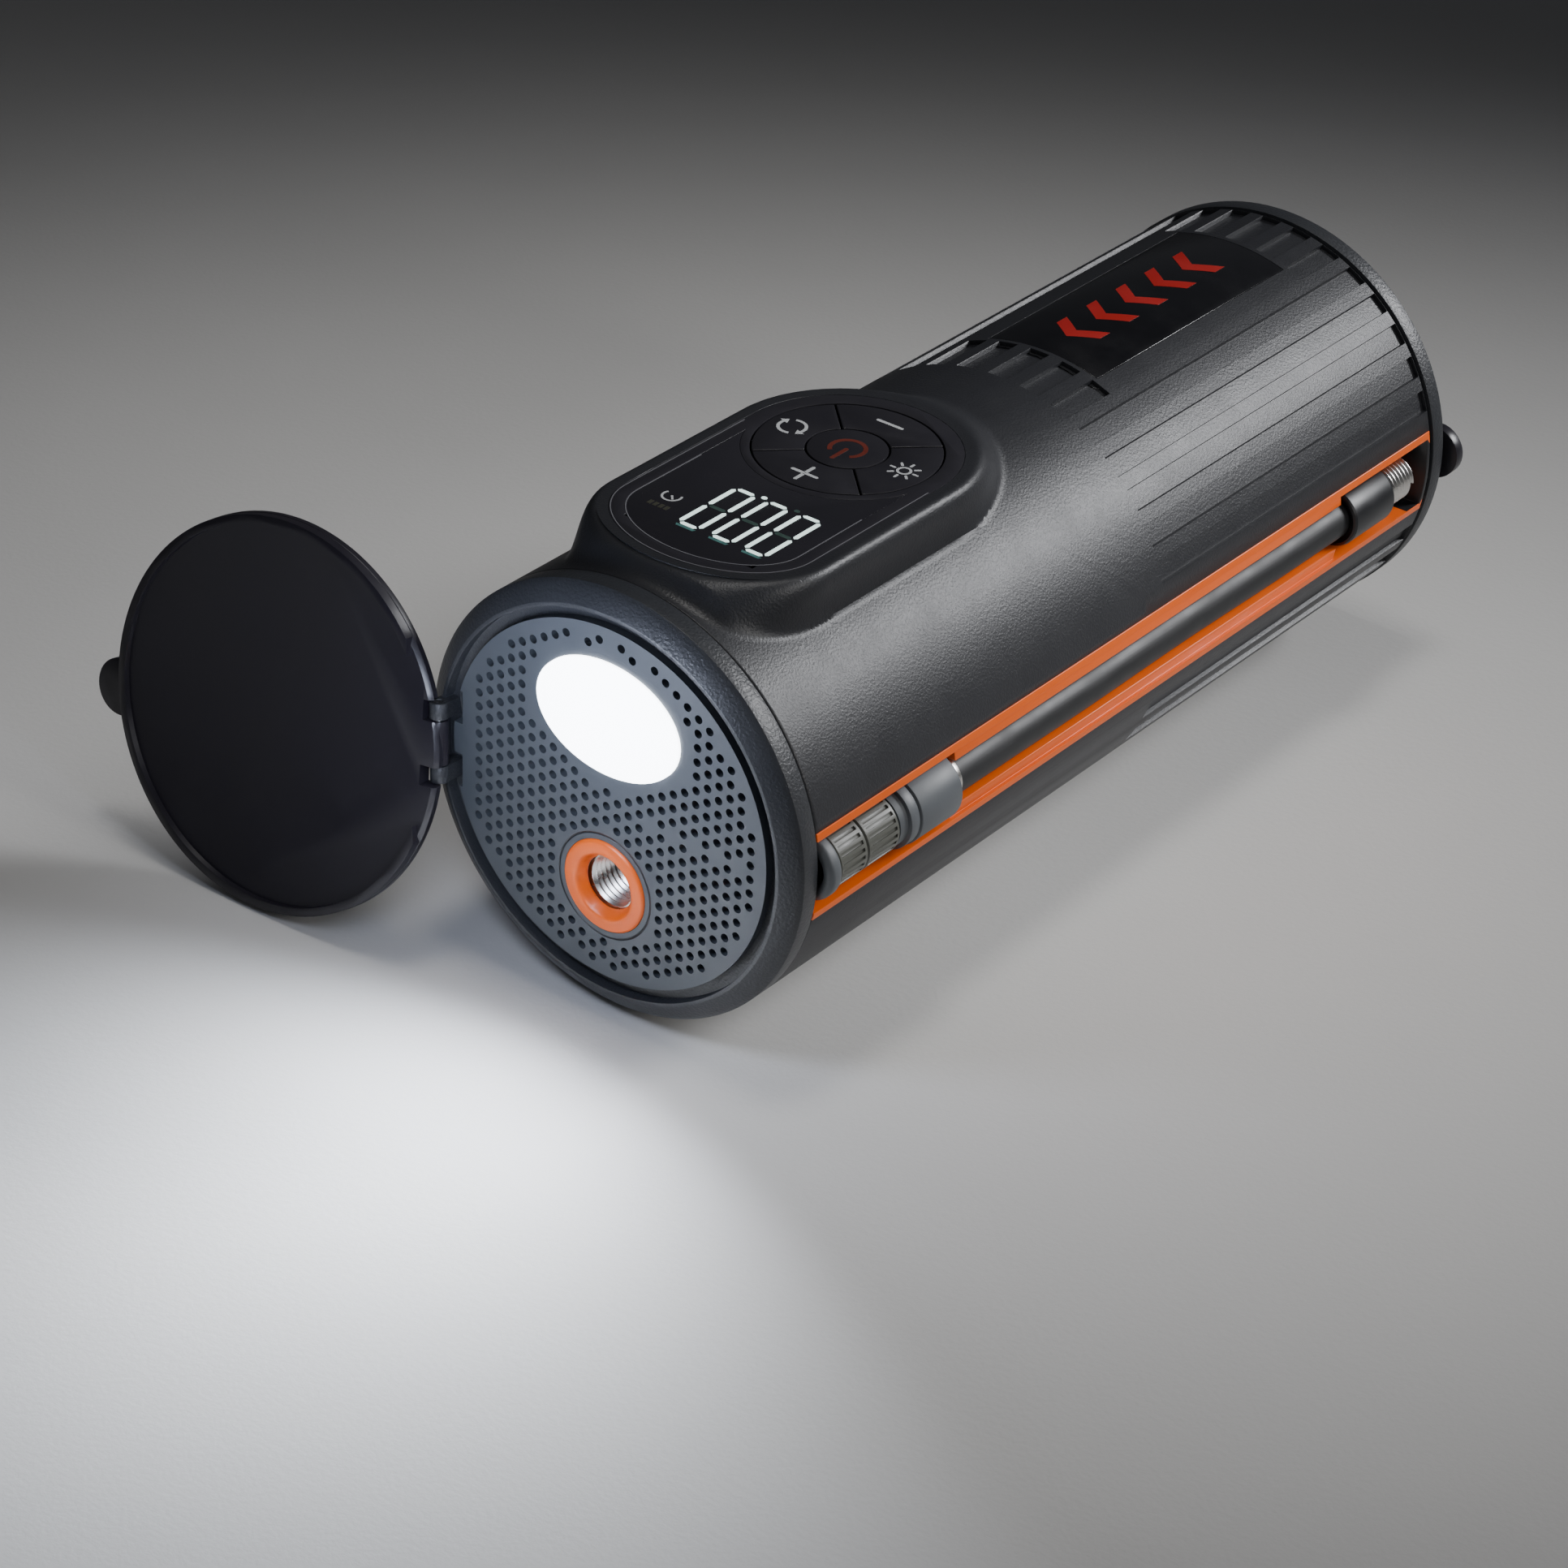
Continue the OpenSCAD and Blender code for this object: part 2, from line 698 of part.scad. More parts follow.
module channel_liner() {
  color(orange) placed() difference() {
    intersection() {
      block([liner_x0, liner_y0, -liner_h], [body_r + 1, liner_y1, liner_h]);
      bar(body_r + 0.1, 0, body_len);
    }
    block([pocket_floor, liner_y0 - 1, -pocket_h], [body_r + 2, front_pocket_end, pocket_h]);
    block([pocket_floor, rear_pocket_y, -pocket_h], [body_r + 2, liner_y1 - 1, pocket_h]);
    block([hose_x, front_pocket_end - 1, -hose_groove], [body_r + 2, rear_pocket_y + 1, hose_groove]);
    bar(hose_groove, front_pocket_end - 1, rear_pocket_y + 1, hose_x);
    difference() {
      block([hose_x, front_pocket_end - 1, -pocket_h], [body_r + 2, rear_pocket_y + 1, pocket_h]);
      bar(body_r - 0.6, 0, body_len);
    }
  }
}

module hose() {
  color("#1d1e21") placed()
    pipe_y(hose_r, hose_bore_r, sleeve_y1 - hose_grip, ferrule_y0 + ferrule_grip, hose_x);
}

module hose_crimp() {
  color(steel) placed() pipe_y(hose_r + 0.25, hose_r, sleeve_y1, sleeve_y1 + 2.6, hose_x);
}

module hose_ferrule() {
  color(soot) placed() translate([hose_x, 0, 0]) turned() polygon([
    [hose_r, ferrule_y0], [ferrule_r - 0.5, ferrule_y0], [ferrule_r, ferrule_y0 + 0.5],
    [ferrule_r, nipple_y0 - 0.5], [ferrule_r - 0.5, nipple_y0], [swivel_r, nipple_y0],
    [swivel_r, ferrule_y0 + ferrule_grip], [hose_r, ferrule_y0 + ferrule_grip]
  ]);
}

module hose_nipple() {
  color(steel) placed() translate([hose_x, 0, 0]) turned() polygon([
    [nipple_bore_r, nipple_y0 - 6], [swivel_r - slip, nipple_y0 - 6], [swivel_r - slip, nipple_y0 + fit_gap],
    [nipple_r, nipple_y0 + fit_gap], [nipple_r, nipple_y1 - 0.6], [nipple_r - 0.6, nipple_y1],
    [nipple_bore_r, nipple_y1]
  ]);
}

module chuck_body() {
  bore = 2;
  color("#63676b") placed() translate([hose_x, 0, 0]) turned() polygon([
    [bore, nut_y0 + socket_depth + 2], [spigot_chuck_r, nut_y0 + socket_depth + 2],
    [spigot_chuck_r, nut_y1 + 0.2], [chuck_r - 1.1, nut_y1 + 0.2], [chuck_r - 1.1, nut_y1 + neck_len],
    [chuck_r - 0.3, nut_y1 + neck_len], [chuck_r - 0.3, sleeve_y0 - 0.3], [chuck_r - 0.6, sleeve_y0 - 0.2],
    [chuck_r - 0.6, sleeve_y0], [chuck_r, sleeve_y0 + 0.1], [chuck_r, sleeve_y1 - 0.4],
    [chuck_r - 0.4, sleeve_y1], [hose_r, sleeve_y1], [hose_r, sleeve_y1 - hose_grip],
    [bore, sleeve_y1 - hose_grip]
  ]);
}

module chuck_nut() {
  color("#6d726e") placed() translate([hose_x, 0, 0]) difference() {
    turned() polygon([
      [valve_bore_r, nut_y0], [nut_r - 0.4, nut_y0], [nut_r, nut_y0 + 0.4],
      [nut_r, nut_split - 0.3], [nut_r - 0.5, nut_split - 0.1], [nut_r - 0.5, nut_split + 0.1],
      [nut_r, nut_split + 0.3], [nut_r, nut_y1 - 0.4], [nut_r - 0.4, nut_y1],
      [spigot_chuck_r + slip, nut_y1], [spigot_chuck_r + slip, nut_y0 + socket_depth],
      [valve_bore_r, nut_y0 + socket_depth]
    ]);
    for (i = [0:nut_ribs - 1]) rotate([0, i * 360 / nut_ribs, 0]) {
      block([nut_r - 0.35, nut_y0 + 0.8, -0.35], [nut_r + 1, nut_split - 0.9, 0.35]);
      block([nut_r - 0.35, nut_split + 0.9, -0.35], [nut_r + 1, nut_y1 - 0.9, 0.35]);
    }
  }
}

module chuck_end_ring() {
  color(soot) placed() translate([hose_x, 0, 0]) turned() polygon([
    [valve_bore_r, chuck_y0 + 0.6], [valve_bore_r + 0.6, chuck_y0], [chuck_r - 1.2, chuck_y0],
    [chuck_r - 0.4, chuck_y0 + 0.8], [chuck_r - 0.4, nut_y0 - 0.4], [chuck_r - 0.9, nut_y0],
    [valve_bore_r, nut_y0]
  ]);
}

module chuck_seal() {
  color("#111111") placed()
    pipe_y(valve_bore_r - 0.3, 1.4, nut_y0 + socket_depth + 0.4, nut_y0 + socket_depth + 2, hose_x);
}

module chuck_pin() {
  color(steel) placed() {
    bar(0.8, nut_y0 + socket_depth - 2.5, nut_y0 + socket_depth + 4, hose_x);
    bar(2, nut_y0 + socket_depth + 4, nut_y0 + socket_depth + 5, hose_x);
  }
}

// ---------- control panel ----------

module window_outline(grow = 0) {
  difference() {
    polygon(panel_outline(-2.8 + grow));
    translate([0, key_y]) circle(r = key_ring_r + 2 - grow);
  }
}

display_lo = [-13, nose_y - 8];
display_hi = [13.7, nose_y + 14];

module panel_cover() {
  color("#17181c") placed() difference() {
    translate([0, 0, panel_z - panel_t]) linear_extrude(panel_t) polygon(panel_outline());
    translate([0, key_y, panel_z - panel_t - 1]) cylinder(r = key_ring_r + key_gap, h = panel_t + 2);
    translate([0, 0, panel_z - window_t]) linear_extrude(window_t + 1) window_outline(slip);
    block(
      [display_lo[0] - 2 * fit_gap, display_lo[1] - 2 * fit_gap, panel_z - panel_t - 1],
      [display_hi[0] + 2 * fit_gap, display_hi[1] + 2 * fit_gap, panel_z + 1]
    );
  }
}

module display_window() {
  color("#101014", 0.8) placed()
    translate([0, 0, panel_z - window_t]) linear_extrude(window_t) window_outline();
}

module display_module() {
  color("#dff2ef") placed() block(
    [display_lo[0], display_lo[1], board_top],
    [display_hi[0], display_hi[1], panel_z - window_t - fit_gap]
  );
}

module control_board() {
  color("#2f5d3a") placed()
    translate([0, 0, board_top - board_t]) linear_extrude(board_t) polygon(panel_outline(-4));
}

module key_mat() {
  color("#3a3a3e") placed() translate([0, key_y, board_top]) cylinder(r = key_ring_r - 0.6, h = mat_t);
}

module key_stem() { cylinder(r = stem_r, h = key_bottom - stem_bottom, $fn = 32); }

// One quarter of the key ring, centred on the given direction
module quarter_key(direction) {
  placed() translate([0, key_y, 0]) rotate([0, 0, direction]) {
    translate([0, 0, key_bottom]) linear_extrude(panel_z - key_bottom) difference() {
      intersection() {
        circle(r = key_ring_r);
        polygon([[key_gap * 0.7, 0], [60, 60 - key_gap * 0.7], [60, -60 + key_gap * 0.7]]);
      }
      circle(r = power_key_r + key_gap);
    }
    translate([(key_ring_r + power_key_r) / 2, 0, stem_bottom]) key_stem();
  }
}

module power_key() {
  color("#1c1d22") placed() translate([0, key_y, 0]) {
    translate([0, 0, key_bottom]) cylinder(r = power_key_r, h = panel_z - key_bottom);
    translate([0, 0, stem_bottom]) key_stem();
  }
}

module plus_key() { color("#1c1d22") quarter_key(-90); }

module minus_key() { color("#1c1d22") quarter_key(90); }

module mode_key() { color("#1c1d22") quarter_key(180); }

module light_key() { color("#1c1d22") quarter_key(0); }

// ---------- pump ----------

module gearbox_frame() {
  collar_z = cylinder_z0 + 8;
  color("#8b9096") placed() difference() {
    union() {
      slab(frame_y0, frame_y1) {
        translate([pump_x, motor_z]) circle(r = motor_r);
        translate([pump_x, crank_z]) circle(r = 9);
        translate([pump_x - 8, motor_z]) square([16, collar_z - motor_z + 5]);
      }
      block([pump_x - 8, pump_y, collar_z], [pump_x + 8, frame_y0 + 1, collar_z + 5]);
      translate([pump_x, pump_y, collar_z]) cylinder(r = cylinder_r + 1.4, h = 5);
    }
    bar(5 + slip, frame_y0 - 1, frame_y1 + 1, pump_x, motor_z);
    bar(3.5, frame_y0 - 1, frame_y1 + 1, pump_x, crank_z);
    translate([pump_x, pump_y, collar_z - 1]) cylinder(r = cylinder_r, h = 7);
  }
}

module motor_can() {
  color("#9aa0a6") placed() difference() {
    union() {
      bar(motor_r, frame_y1, motor_y1, pump_x, motor_z);
      bar(5, frame_y0 + 0.3, frame_y1, pump_x, motor_z);
    }
    bar(shaft_r + slip, frame_y0 - 1, motor_y1 + 1, pump_x, motor_z);
  }
}

module rotor() {
  color("#b9bdc2") placed() {
    bar(shaft_r, gear_y0 - 1, motor_y1 + 8, pump_x, motor_z);
    translate([pump_x, gear_y0, motor_z]) rotate([-90, 0, 0])
      rotate([0, 0, 90 + 180 / pinion_teeth * (pinion_teeth % 2)]) gear(pinion_teeth, gear_w);
  }
}

module cooling_fan() {
  y0 = motor_y1 + 1.5;
  color("#26282c") placed() translate([pump_x, 0, motor_z]) difference() {
    union() {
      bar(3, y0, y0 + 6);
      bar(motor_r - 1, y0, y0 + 1);
      for (i = [0:7]) rotate([0, i * 45, 0]) block([2, y0, -0.5], [motor_r - 1.2, y0 + 6, 0.5]);
    }
    bar(shaft_r, y0 - 1, y0 + 7);
  }
}

module crank_gear() {
  color("#c9a24a") placed() {
    translate([pump_x, gear_y0, crank_z]) rotate([-90, 0, 0])
      rotate([0, 0, 90 + 180 / crank_teeth]) gear(crank_teeth, gear_w);
    bar(crank_shaft_r, gear_y1 - 1, frame_y1 + 2, pump_x, crank_z);
  }
}

module crank_bearing() {
  color("#b08d4a") placed() pipe_y(3.5, crank_shaft_r + slip, frame_y0, frame_y1, pump_x, crank_z);
}

module crank_pin() {
  color(steel) placed() bar(crank_pin_r, pump_y - rod_t / 2 - 0.4, gear_y0 - 0.3, pump_x, pin_z);
}

// The rod's shank and small end, which the piston is moulded round
module rod_shank() {
  slab(pump_y - rod_t / 2, pump_y + rod_t / 2) {
    translate([pump_x, wrist_z]) circle(r = wrist_r);
    translate([pump_x - shank_w / 2, pin_z]) square([shank_w, rod_len]);
  }
}

module connecting_rod() {
  color("#8b9096") placed() difference() {
    union() {
      rod_shank();
      bar(crank_pin_r + 1.9, pump_y - rod_t / 2, pump_y + rod_t / 2, pump_x, pin_z);
    }
    bar(crank_pin_r, pump_y - rod_t, pump_y + rod_t, pump_x, pin_z);
  }
}

module piston() {
  color("#d3d6d9") placed() difference() {
    translate([pump_x, pump_y, piston_z0]) cylinder(r = pump_bore_r - slip, h = piston_h);
    translate([pump_x, pump_y, seal_z]) difference() {
      cylinder(r = pump_bore_r + 1, h = seal_h);
      cylinder(r = pump_bore_r - seal_w, h = seal_h);
    }
    rod_shank();
  }
}

module piston_seal() {
  color("#111111") placed() translate([pump_x, pump_y, seal_z]) difference() {
    cylinder(r = pump_bore_r - slip / 2, h = seal_h);
    translate([0, 0, -1]) cylinder(r = pump_bore_r - seal_w, h = seal_h + 2);
  }
}

module pump_cylinder() {
  color("#aeb3b8") placed() translate([pump_x, pump_y, cylinder_z0]) difference() {
    cylinder(r = cylinder_r, h = cylinder_z1 - cylinder_z0);
    translate([0, 0, -1]) cylinder(r = pump_bore_r, h = cylinder_z1 - cylinder_z0 + 2);
    translate([-4, -cylinder_r - 1, -1]) cube([8, 2 * cylinder_r + 2, 3]);
  }
}

module cylinder_head() {
  color("#8b9096") placed() difference() {
    union() {
      translate([pump_x, pump_y, cylinder_z1]) cylinder(r = cylinder_r + 1, h = head_t);
      block(
        [pump_x - 3, pump_y - cylinder_r - 3, cylinder_z1 - 1.4],
        [pump_x + 3, pump_y - cylinder_r + 1, cylinder_z1 + head_t]
      );
    }
    translate([pump_x, pump_y, cylinder_z1 - 2]) cylinder(r = cylinder_r, h = 2);
  }
}

tube_top_z = cylinder_z1 + head_t / 2 - 0.5;

module air_tube() {
  color("#2b2d31") placed() pipe([
    [0, insert_end, -outlet_drop],
    [0, tube_y, -outlet_drop],
    [pump_x, tube_y, -outlet_drop + 8],
    [pump_x, tube_y, tube_top_z],
    [pump_x, pump_y - cylinder_r - 3, tube_top_z]
  ], tube_r);
}

module pressure_sensor() {
  color("#35383d") placed() difference() {
    block([pump_x - 9, tube_y - 4, 4], [pump_x + 1, tube_y + 4, 11]);
    translate([pump_x, tube_y, 0]) cylinder(r = tube_r, h = 20, $fn = 32);
  }
}

// ---------- battery ----------

module at_cells() {
  for (i = [-0.5, 0.5], j = [-0.5, 0.5]) translate([cells_x + i * cell_pitch, 0, j * cell_pitch]) children();
}

module battery_cells() { color("#2f6fb0") placed() at_cells() bar(cell_r, cells_y, cells_y + cell_len); }

module battery_tray() {
  half = cell_pitch / 2 + cell_r + 1.4;
  color("#26282c") placed() difference() {
    union() {
      for (y = [cells_y + 2, cells_y + cell_len - 8])
        block([cells_x - half, y, -half], [cells_x + half, y + 6, half]);
      bar(2.6, cells_y + 4, cells_y + cell_len - 4, cells_x);
    }
    at_cells() bar(cell_r + slip, cells_y - 1, cells_y + cell_len + 1);
  }
}

module cell_links() {
  strip = 0.3;
  color(steel) placed() for (i = [-0.5, 0.5], y = [cells_y - strip, cells_y + cell_len])
    block(
      [cells_x + i * cell_pitch - 3.5, y, -cell_pitch / 2 - 5],
      [cells_x + i * cell_pitch + 3.5, y + strip, cell_pitch / 2 + 5]
    );
}

upper_shell();
lower_shell();
shell_screws();
base_pad();
label_plate();
front_ring();
front_grille();
torch_lens();
torch_reflector();
led_board();
led_chips();
outlet_ring();
outlet_insert();
front_lid();
front_lid_pin();
rear_ring();
rear_plate();
rear_lid();
rear_lid_pin();
usb_c_port();
usb_a_port();
port_board();
channel_liner();
hose();
hose_crimp();
hose_ferrule();
hose_nipple();
chuck_body();
chuck_nut();
chuck_end_ring();
chuck_seal();
chuck_pin();
panel_cover();
display_window();
display_module();
key_mat();
control_board();
power_key();
plus_key();
minus_key();
mode_key();
light_key();
gearbox_frame();
motor_can();
rotor();
cooling_fan();
crank_gear();
crank_bearing();
crank_pin();
connecting_rod();
piston();
piston_seal();
pump_cylinder();
cylinder_head();
air_tube();
pressure_sensor();
battery_cells();
battery_tray();
cell_links();
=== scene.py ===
import math

import bmesh
import bpy
from mathutils import Matrix, Vector


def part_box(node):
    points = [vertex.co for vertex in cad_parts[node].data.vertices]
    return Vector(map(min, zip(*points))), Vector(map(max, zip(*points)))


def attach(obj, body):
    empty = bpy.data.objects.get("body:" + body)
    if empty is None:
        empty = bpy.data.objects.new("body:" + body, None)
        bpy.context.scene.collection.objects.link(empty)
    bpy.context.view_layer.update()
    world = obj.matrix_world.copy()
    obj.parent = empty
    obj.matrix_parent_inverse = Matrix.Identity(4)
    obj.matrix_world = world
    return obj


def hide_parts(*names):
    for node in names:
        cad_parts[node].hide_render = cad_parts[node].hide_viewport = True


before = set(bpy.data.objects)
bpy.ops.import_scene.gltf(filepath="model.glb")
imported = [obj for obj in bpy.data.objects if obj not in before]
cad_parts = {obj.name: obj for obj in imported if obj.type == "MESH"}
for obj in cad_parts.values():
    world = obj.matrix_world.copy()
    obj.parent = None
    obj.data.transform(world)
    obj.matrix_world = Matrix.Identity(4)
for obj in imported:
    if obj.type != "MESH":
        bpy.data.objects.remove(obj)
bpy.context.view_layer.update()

# A cordless tyre inflator lying on its side on a pale floor, with its torch lit and its front lid open.
# Pieces are drawn in millimetres in the body's own frame: x across towards the hose, y back from the
# front ring's edge, z up from the body's axis. TO_ROW puts them in the shared frame, in metres.

MM = 0.001

# ---------- sizes ----------

ring_lo, ring_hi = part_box("front_ring")
BODY_R = (ring_hi.x - ring_lo.x) / 2 / MM
AXIS_Z = (ring_hi.z + ring_lo.z) / 2
PLATE_FRONT = -1.1
FRONT_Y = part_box("front_grille")[0].y - PLATE_FRONT * MM
TO_ROW = Matrix.Translation((0, FRONT_Y, AXIS_Z)) @ Matrix.Scale(MM, 4)


def in_body(point):
    """A point of the shared frame in the body's own millimetres."""
    return TO_ROW.inverted() @ point


def body_box(node):
    """The two corners of a CAD node's box, in the body's own millimetres."""
    return [in_body(corner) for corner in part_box(node)]


shell_lo, shell_hi = body_box("upper_shell")
cover_lo, cover_hi = body_box("panel_cover")
label_lo, label_hi = body_box("label_plate")
power_lo, power_hi = body_box("power_key")
outlet_lo, outlet_hi = body_box("outlet_ring")
insert_lo, insert_hi = body_box("outlet_insert")
nipple_lo, nipple_hi = body_box("hose_nipple")
ferrule_lo, ferrule_hi = body_box("hose_ferrule")
hose_lo, hose_hi = body_box("hose")
liner_hi = body_box("channel_liner")[1]
torch_lo, torch_hi = body_box("torch_lens")

PANEL_TOP = cover_hi.z
PANEL_W = cover_hi.x                 # half width of the panel
KEY_Y = (power_lo.y + power_hi.y) / 2
NOSE = 14.5                          # depth of the panel's rounded front
NOSE_Y = cover_lo.y + NOSE
CHANNEL_H = liner_hi.z + 0.05        # half height of the channel's opening
OUTLET_Z = (outlet_lo.z + outlet_hi.z) / 2
HOSE_X = (hose_lo.x + hose_hi.x) / 2
HOSE_R = (hose_hi.x - hose_lo.x) / 2

PANEL_MIDDLE = (cover_lo.y + cover_hi.y) / 2
JOIN_Y = 100.0                       # where the panel's collar meets the fluted grip
BLEND_NEAR, BLEND_FAR = 1.8, 10.5    # distances outside the panel between which its platform melts away
BLEND_FRONT = 5                      # length over which the platform rises behind the front ring
FLANK = 0.35                         # sine of the angle below which the shell is plainly round

GRIP_FRONT, GRIP_REAR = 105.4, shell_hi.y - 0.1
FLUTE_PITCH = math.radians(9.9) * BODY_R
FLUTE_W, FLUTE_DEPTH, STUB_LEN = 4.1, 0.8, 13
FLUTES = range(-7, 9)                # counted from the top line towards -x
LONG_FROM = 3                        # flutes nearer the top line than this are short stubs at both ends
SEAT_EDGE = 1.75 * FLUTE_PITCH + 0.05    # arc length from the top line to the side of the label's seat
SEAT_GAP, SEAT_DEPTH = 0.08, 0.6     # gap before and behind the label, and depth of its seat
FLUTE_LIP, SEAT_LIP = 0.09, 0.06     # widths of the rounded lips
LIP_MARKS = (-0.05, 0.0, 0.05, 0.1, 0.15)    # where a flute's lip needs vertices, counted inwards
SEAT_MARKS = (-0.02, 0.02, 0.06)     # the same for the seat's lip
ROW_STEP, LEAST_GAP = 5, 0.015       # plain spacing of the rows, and the closest that marks may lie
TINY = 1e-6                          # stands in for zero


# ---------- mesh helpers ----------

def piece(name, bm, body, material, replaces=(), crease=32, place=TO_ROW):
    """Makes a finished mesh into a piece that rides on a body, and smooths it up to the crease angle."""
    bmesh.ops.transform(bm, matrix=place, verts=bm.verts)
    mesh = bpy.data.meshes.new(name)
    bm.to_mesh(mesh)
    bm.free()
    mesh.materials.append(material)
    mesh.shade_smooth()
    mesh.set_sharp_from_angle(angle=math.radians(crease))
    obj = bpy.data.objects.new(name, mesh)
    bpy.context.scene.collection.objects.link(obj)
    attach(obj, body)
    if replaces:
        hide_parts(*replaces)
    return obj


def rounded_copy(node, material, slot, body, bevel):
    """Stands a copy of a CAD node in for it, with its sharp edges rounded as a mould leaves them."""
    same_point, flat, sharp = 2e-6, math.radians(0.5), math.radians(30)
    bm = bmesh.new()
    bm.from_mesh(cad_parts[node].data)
    bmesh.ops.remove_doubles(bm, verts=bm.verts, dist=same_point)
    bmesh.ops.dissolve_limit(bm, angle_limit=flat, verts=bm.verts, edges=bm.edges)
    edges = [e for e in bm.edges if len(e.link_faces) == 2 and e.calc_face_angle() > sharp]
    bmesh.ops.bevel(bm, geom=edges, offset=bevel * MM, offset_type="OFFSET", segments=2,
                    profile=0.5, affect="EDGES", clamp_overlap=True, material=-1)
    return piece(node + "_rounded", bm, body, material, (node,), place=Matrix.Identity(4))


def whole(bm):
    """Every vertex, edge and face of a mesh, for a cut right through it."""
    return list(bm.verts) + list(bm.edges) + list(bm.faces)


def turned(bm, profile, steps):
    """Revolves a closed profile of (radius, y) points about the y axis."""
    verts = [bm.verts.new((r, y, 0)) for r, y in profile]
    edges = [bm.edges.new(pair) for pair in zip(verts, verts[1:] + verts[:1])]
    bmesh.ops.spin(bm, geom=verts + edges, cent=(0, 0, 0), axis=(0, 1, 0), dvec=(0, 0, 0),
                   angle=math.tau, steps=steps, use_merge=True)
    bmesh.ops.remove_doubles(bm, verts=bm.verts, dist=1e-4)
    bmesh.ops.recalc_face_normals(bm, faces=bm.faces)


def threaded(bm, root_r, crest_r, wall_r, y0, y1, pitch):
    """A helical thread: V grooves closed by a plain wall, turned once while they move one pitch."""
    steps, level = 64, 0.12              # level: the share of a pitch that each root and crest stays flat
    turns = int((y1 - y0) / pitch) - 1
    points = [(wall_r, y0)]
    for i in range(turns):
        points += [(root_r, y0 + i * pitch), (root_r, y0 + (i + level) * pitch),
                   (crest_r, y0 + (i + 0.5) * pitch), (crest_r, y0 + (i + 0.5 + level) * pitch)]
    points += [(root_r, y0 + turns * pitch), (wall_r, y0 + turns * pitch)]
    verts = [bm.verts.new((r, y, 0)) for r, y in points]
    edges = [bm.edges.new(pair) for pair in zip(verts, verts[1:] + verts[:1])]
    bmesh.ops.spin(bm, geom=verts + edges, cent=(0, 0, 0), axis=(0, 1, 0),
                   dvec=(0, pitch / steps, 0), angle=math.tau, steps=steps)
    bmesh.ops.remove_doubles(bm, verts=bm.verts, dist=1e-3)
    bmesh.ops.holes_fill(bm, edges=bm.edges, sides=0)
    bmesh.ops.recalc_face_normals(bm, faces=bm.faces)


def bar_shape(bm, start, end, width):
    """A flat bar with round ends, from start to end."""
    start, end = Vector(start), Vector(end)
    run = end - start
    made = bmesh.ops.create_circle(bm, cap_ends=True, radius=width / 2, segments=16)["verts"]
    for v in made:
        if v.co.x > TINY:
            v.co.x += run.length
    turn = Matrix.Rotation(math.atan2(run.y, run.x), 4, "Z")
    bmesh.ops.transform(bm, matrix=Matrix.Translation((start.x, start.y, 0)) @ turn, verts=made)


def arc_shape(bm, centre, radius, width, a0, a1):
    """A flat arc of a ring from angle a0 to a1, in degrees."""
    verts = [bm.verts.new((centre[0] + r * math.cos(math.radians(a0)),
                           centre[1] + r * math.sin(math.radians(a0)), 0))
             for r in (radius - width / 2, radius + width / 2)]
    edge = bm.edges.new(verts)
    full = abs(a1 - a0) > 359.9
    bmesh.ops.spin(bm, geom=verts + [edge], cent=(centre[0], centre[1], 0), axis=(0, 0, 1),
                   dvec=(0, 0, 0), angle=math.radians(a1 - a0), steps=max(6, int(abs(a1 - a0) / 8)),
                   use_merge=full)


def polygon_shape(bm, points):
    """A flat polygon."""
    bm.faces.new([bm.verts.new((x, y, 0)) for x, y in points])


def raise_flat(bm, z, height):
    """Gives flat shapes a thickness and lifts them to z."""
    bmesh.ops.recalc_face_normals(bm, faces=bm.faces)
    for f in bm.faces:
        if f.normal.z > 0:
            f.normal_flip()
    made = bmesh.ops.extrude_face_region(bm, geom=list(bm.faces), use_keep_orig=True)["geom"]
    top = [v for v in made if isinstance(v, bmesh.types.BMVert)]
    bmesh.ops.translate(bm, verts=top, vec=(0, 0, height))
    bmesh.ops.translate(bm, verts=bm.verts, vec=(0, 0, z))
    bmesh.ops.recalc_face_normals(bm, faces=bm.faces)


# ---------- materials ----------

def hex_colour(text, alpha=1.0):
    """An sRGB hex colour as linear values."""
    channels = [int(text[i:i + 2], 16) / 255 for i in (1, 3, 5)]
    return [c / 12.92 if c <= 0.04045 else ((c + 0.055) / 1.055) ** 2.4 for c in channels] + [alpha]


def add(tree, kind, inputs=None, **settings):
    """Adds a shader node, sets its properties, and sets or links its inputs."""
    n = tree.nodes.new(kind)
    for key, value in settings.items():
        setattr(n, key, value)
    for socket, value in (inputs or {}).items():
        if isinstance(value, bpy.types.NodeSocket):
            tree.links.new(value, n.inputs[socket])
        else:
            n.inputs[socket].default_value = value
    return n


def new_material(name):
    """An empty node material and its tree."""
    m = bpy.data.materials.new(name)
    m.use_nodes = True
    m.node_tree.nodes.clear()
    return m, m.node_tree


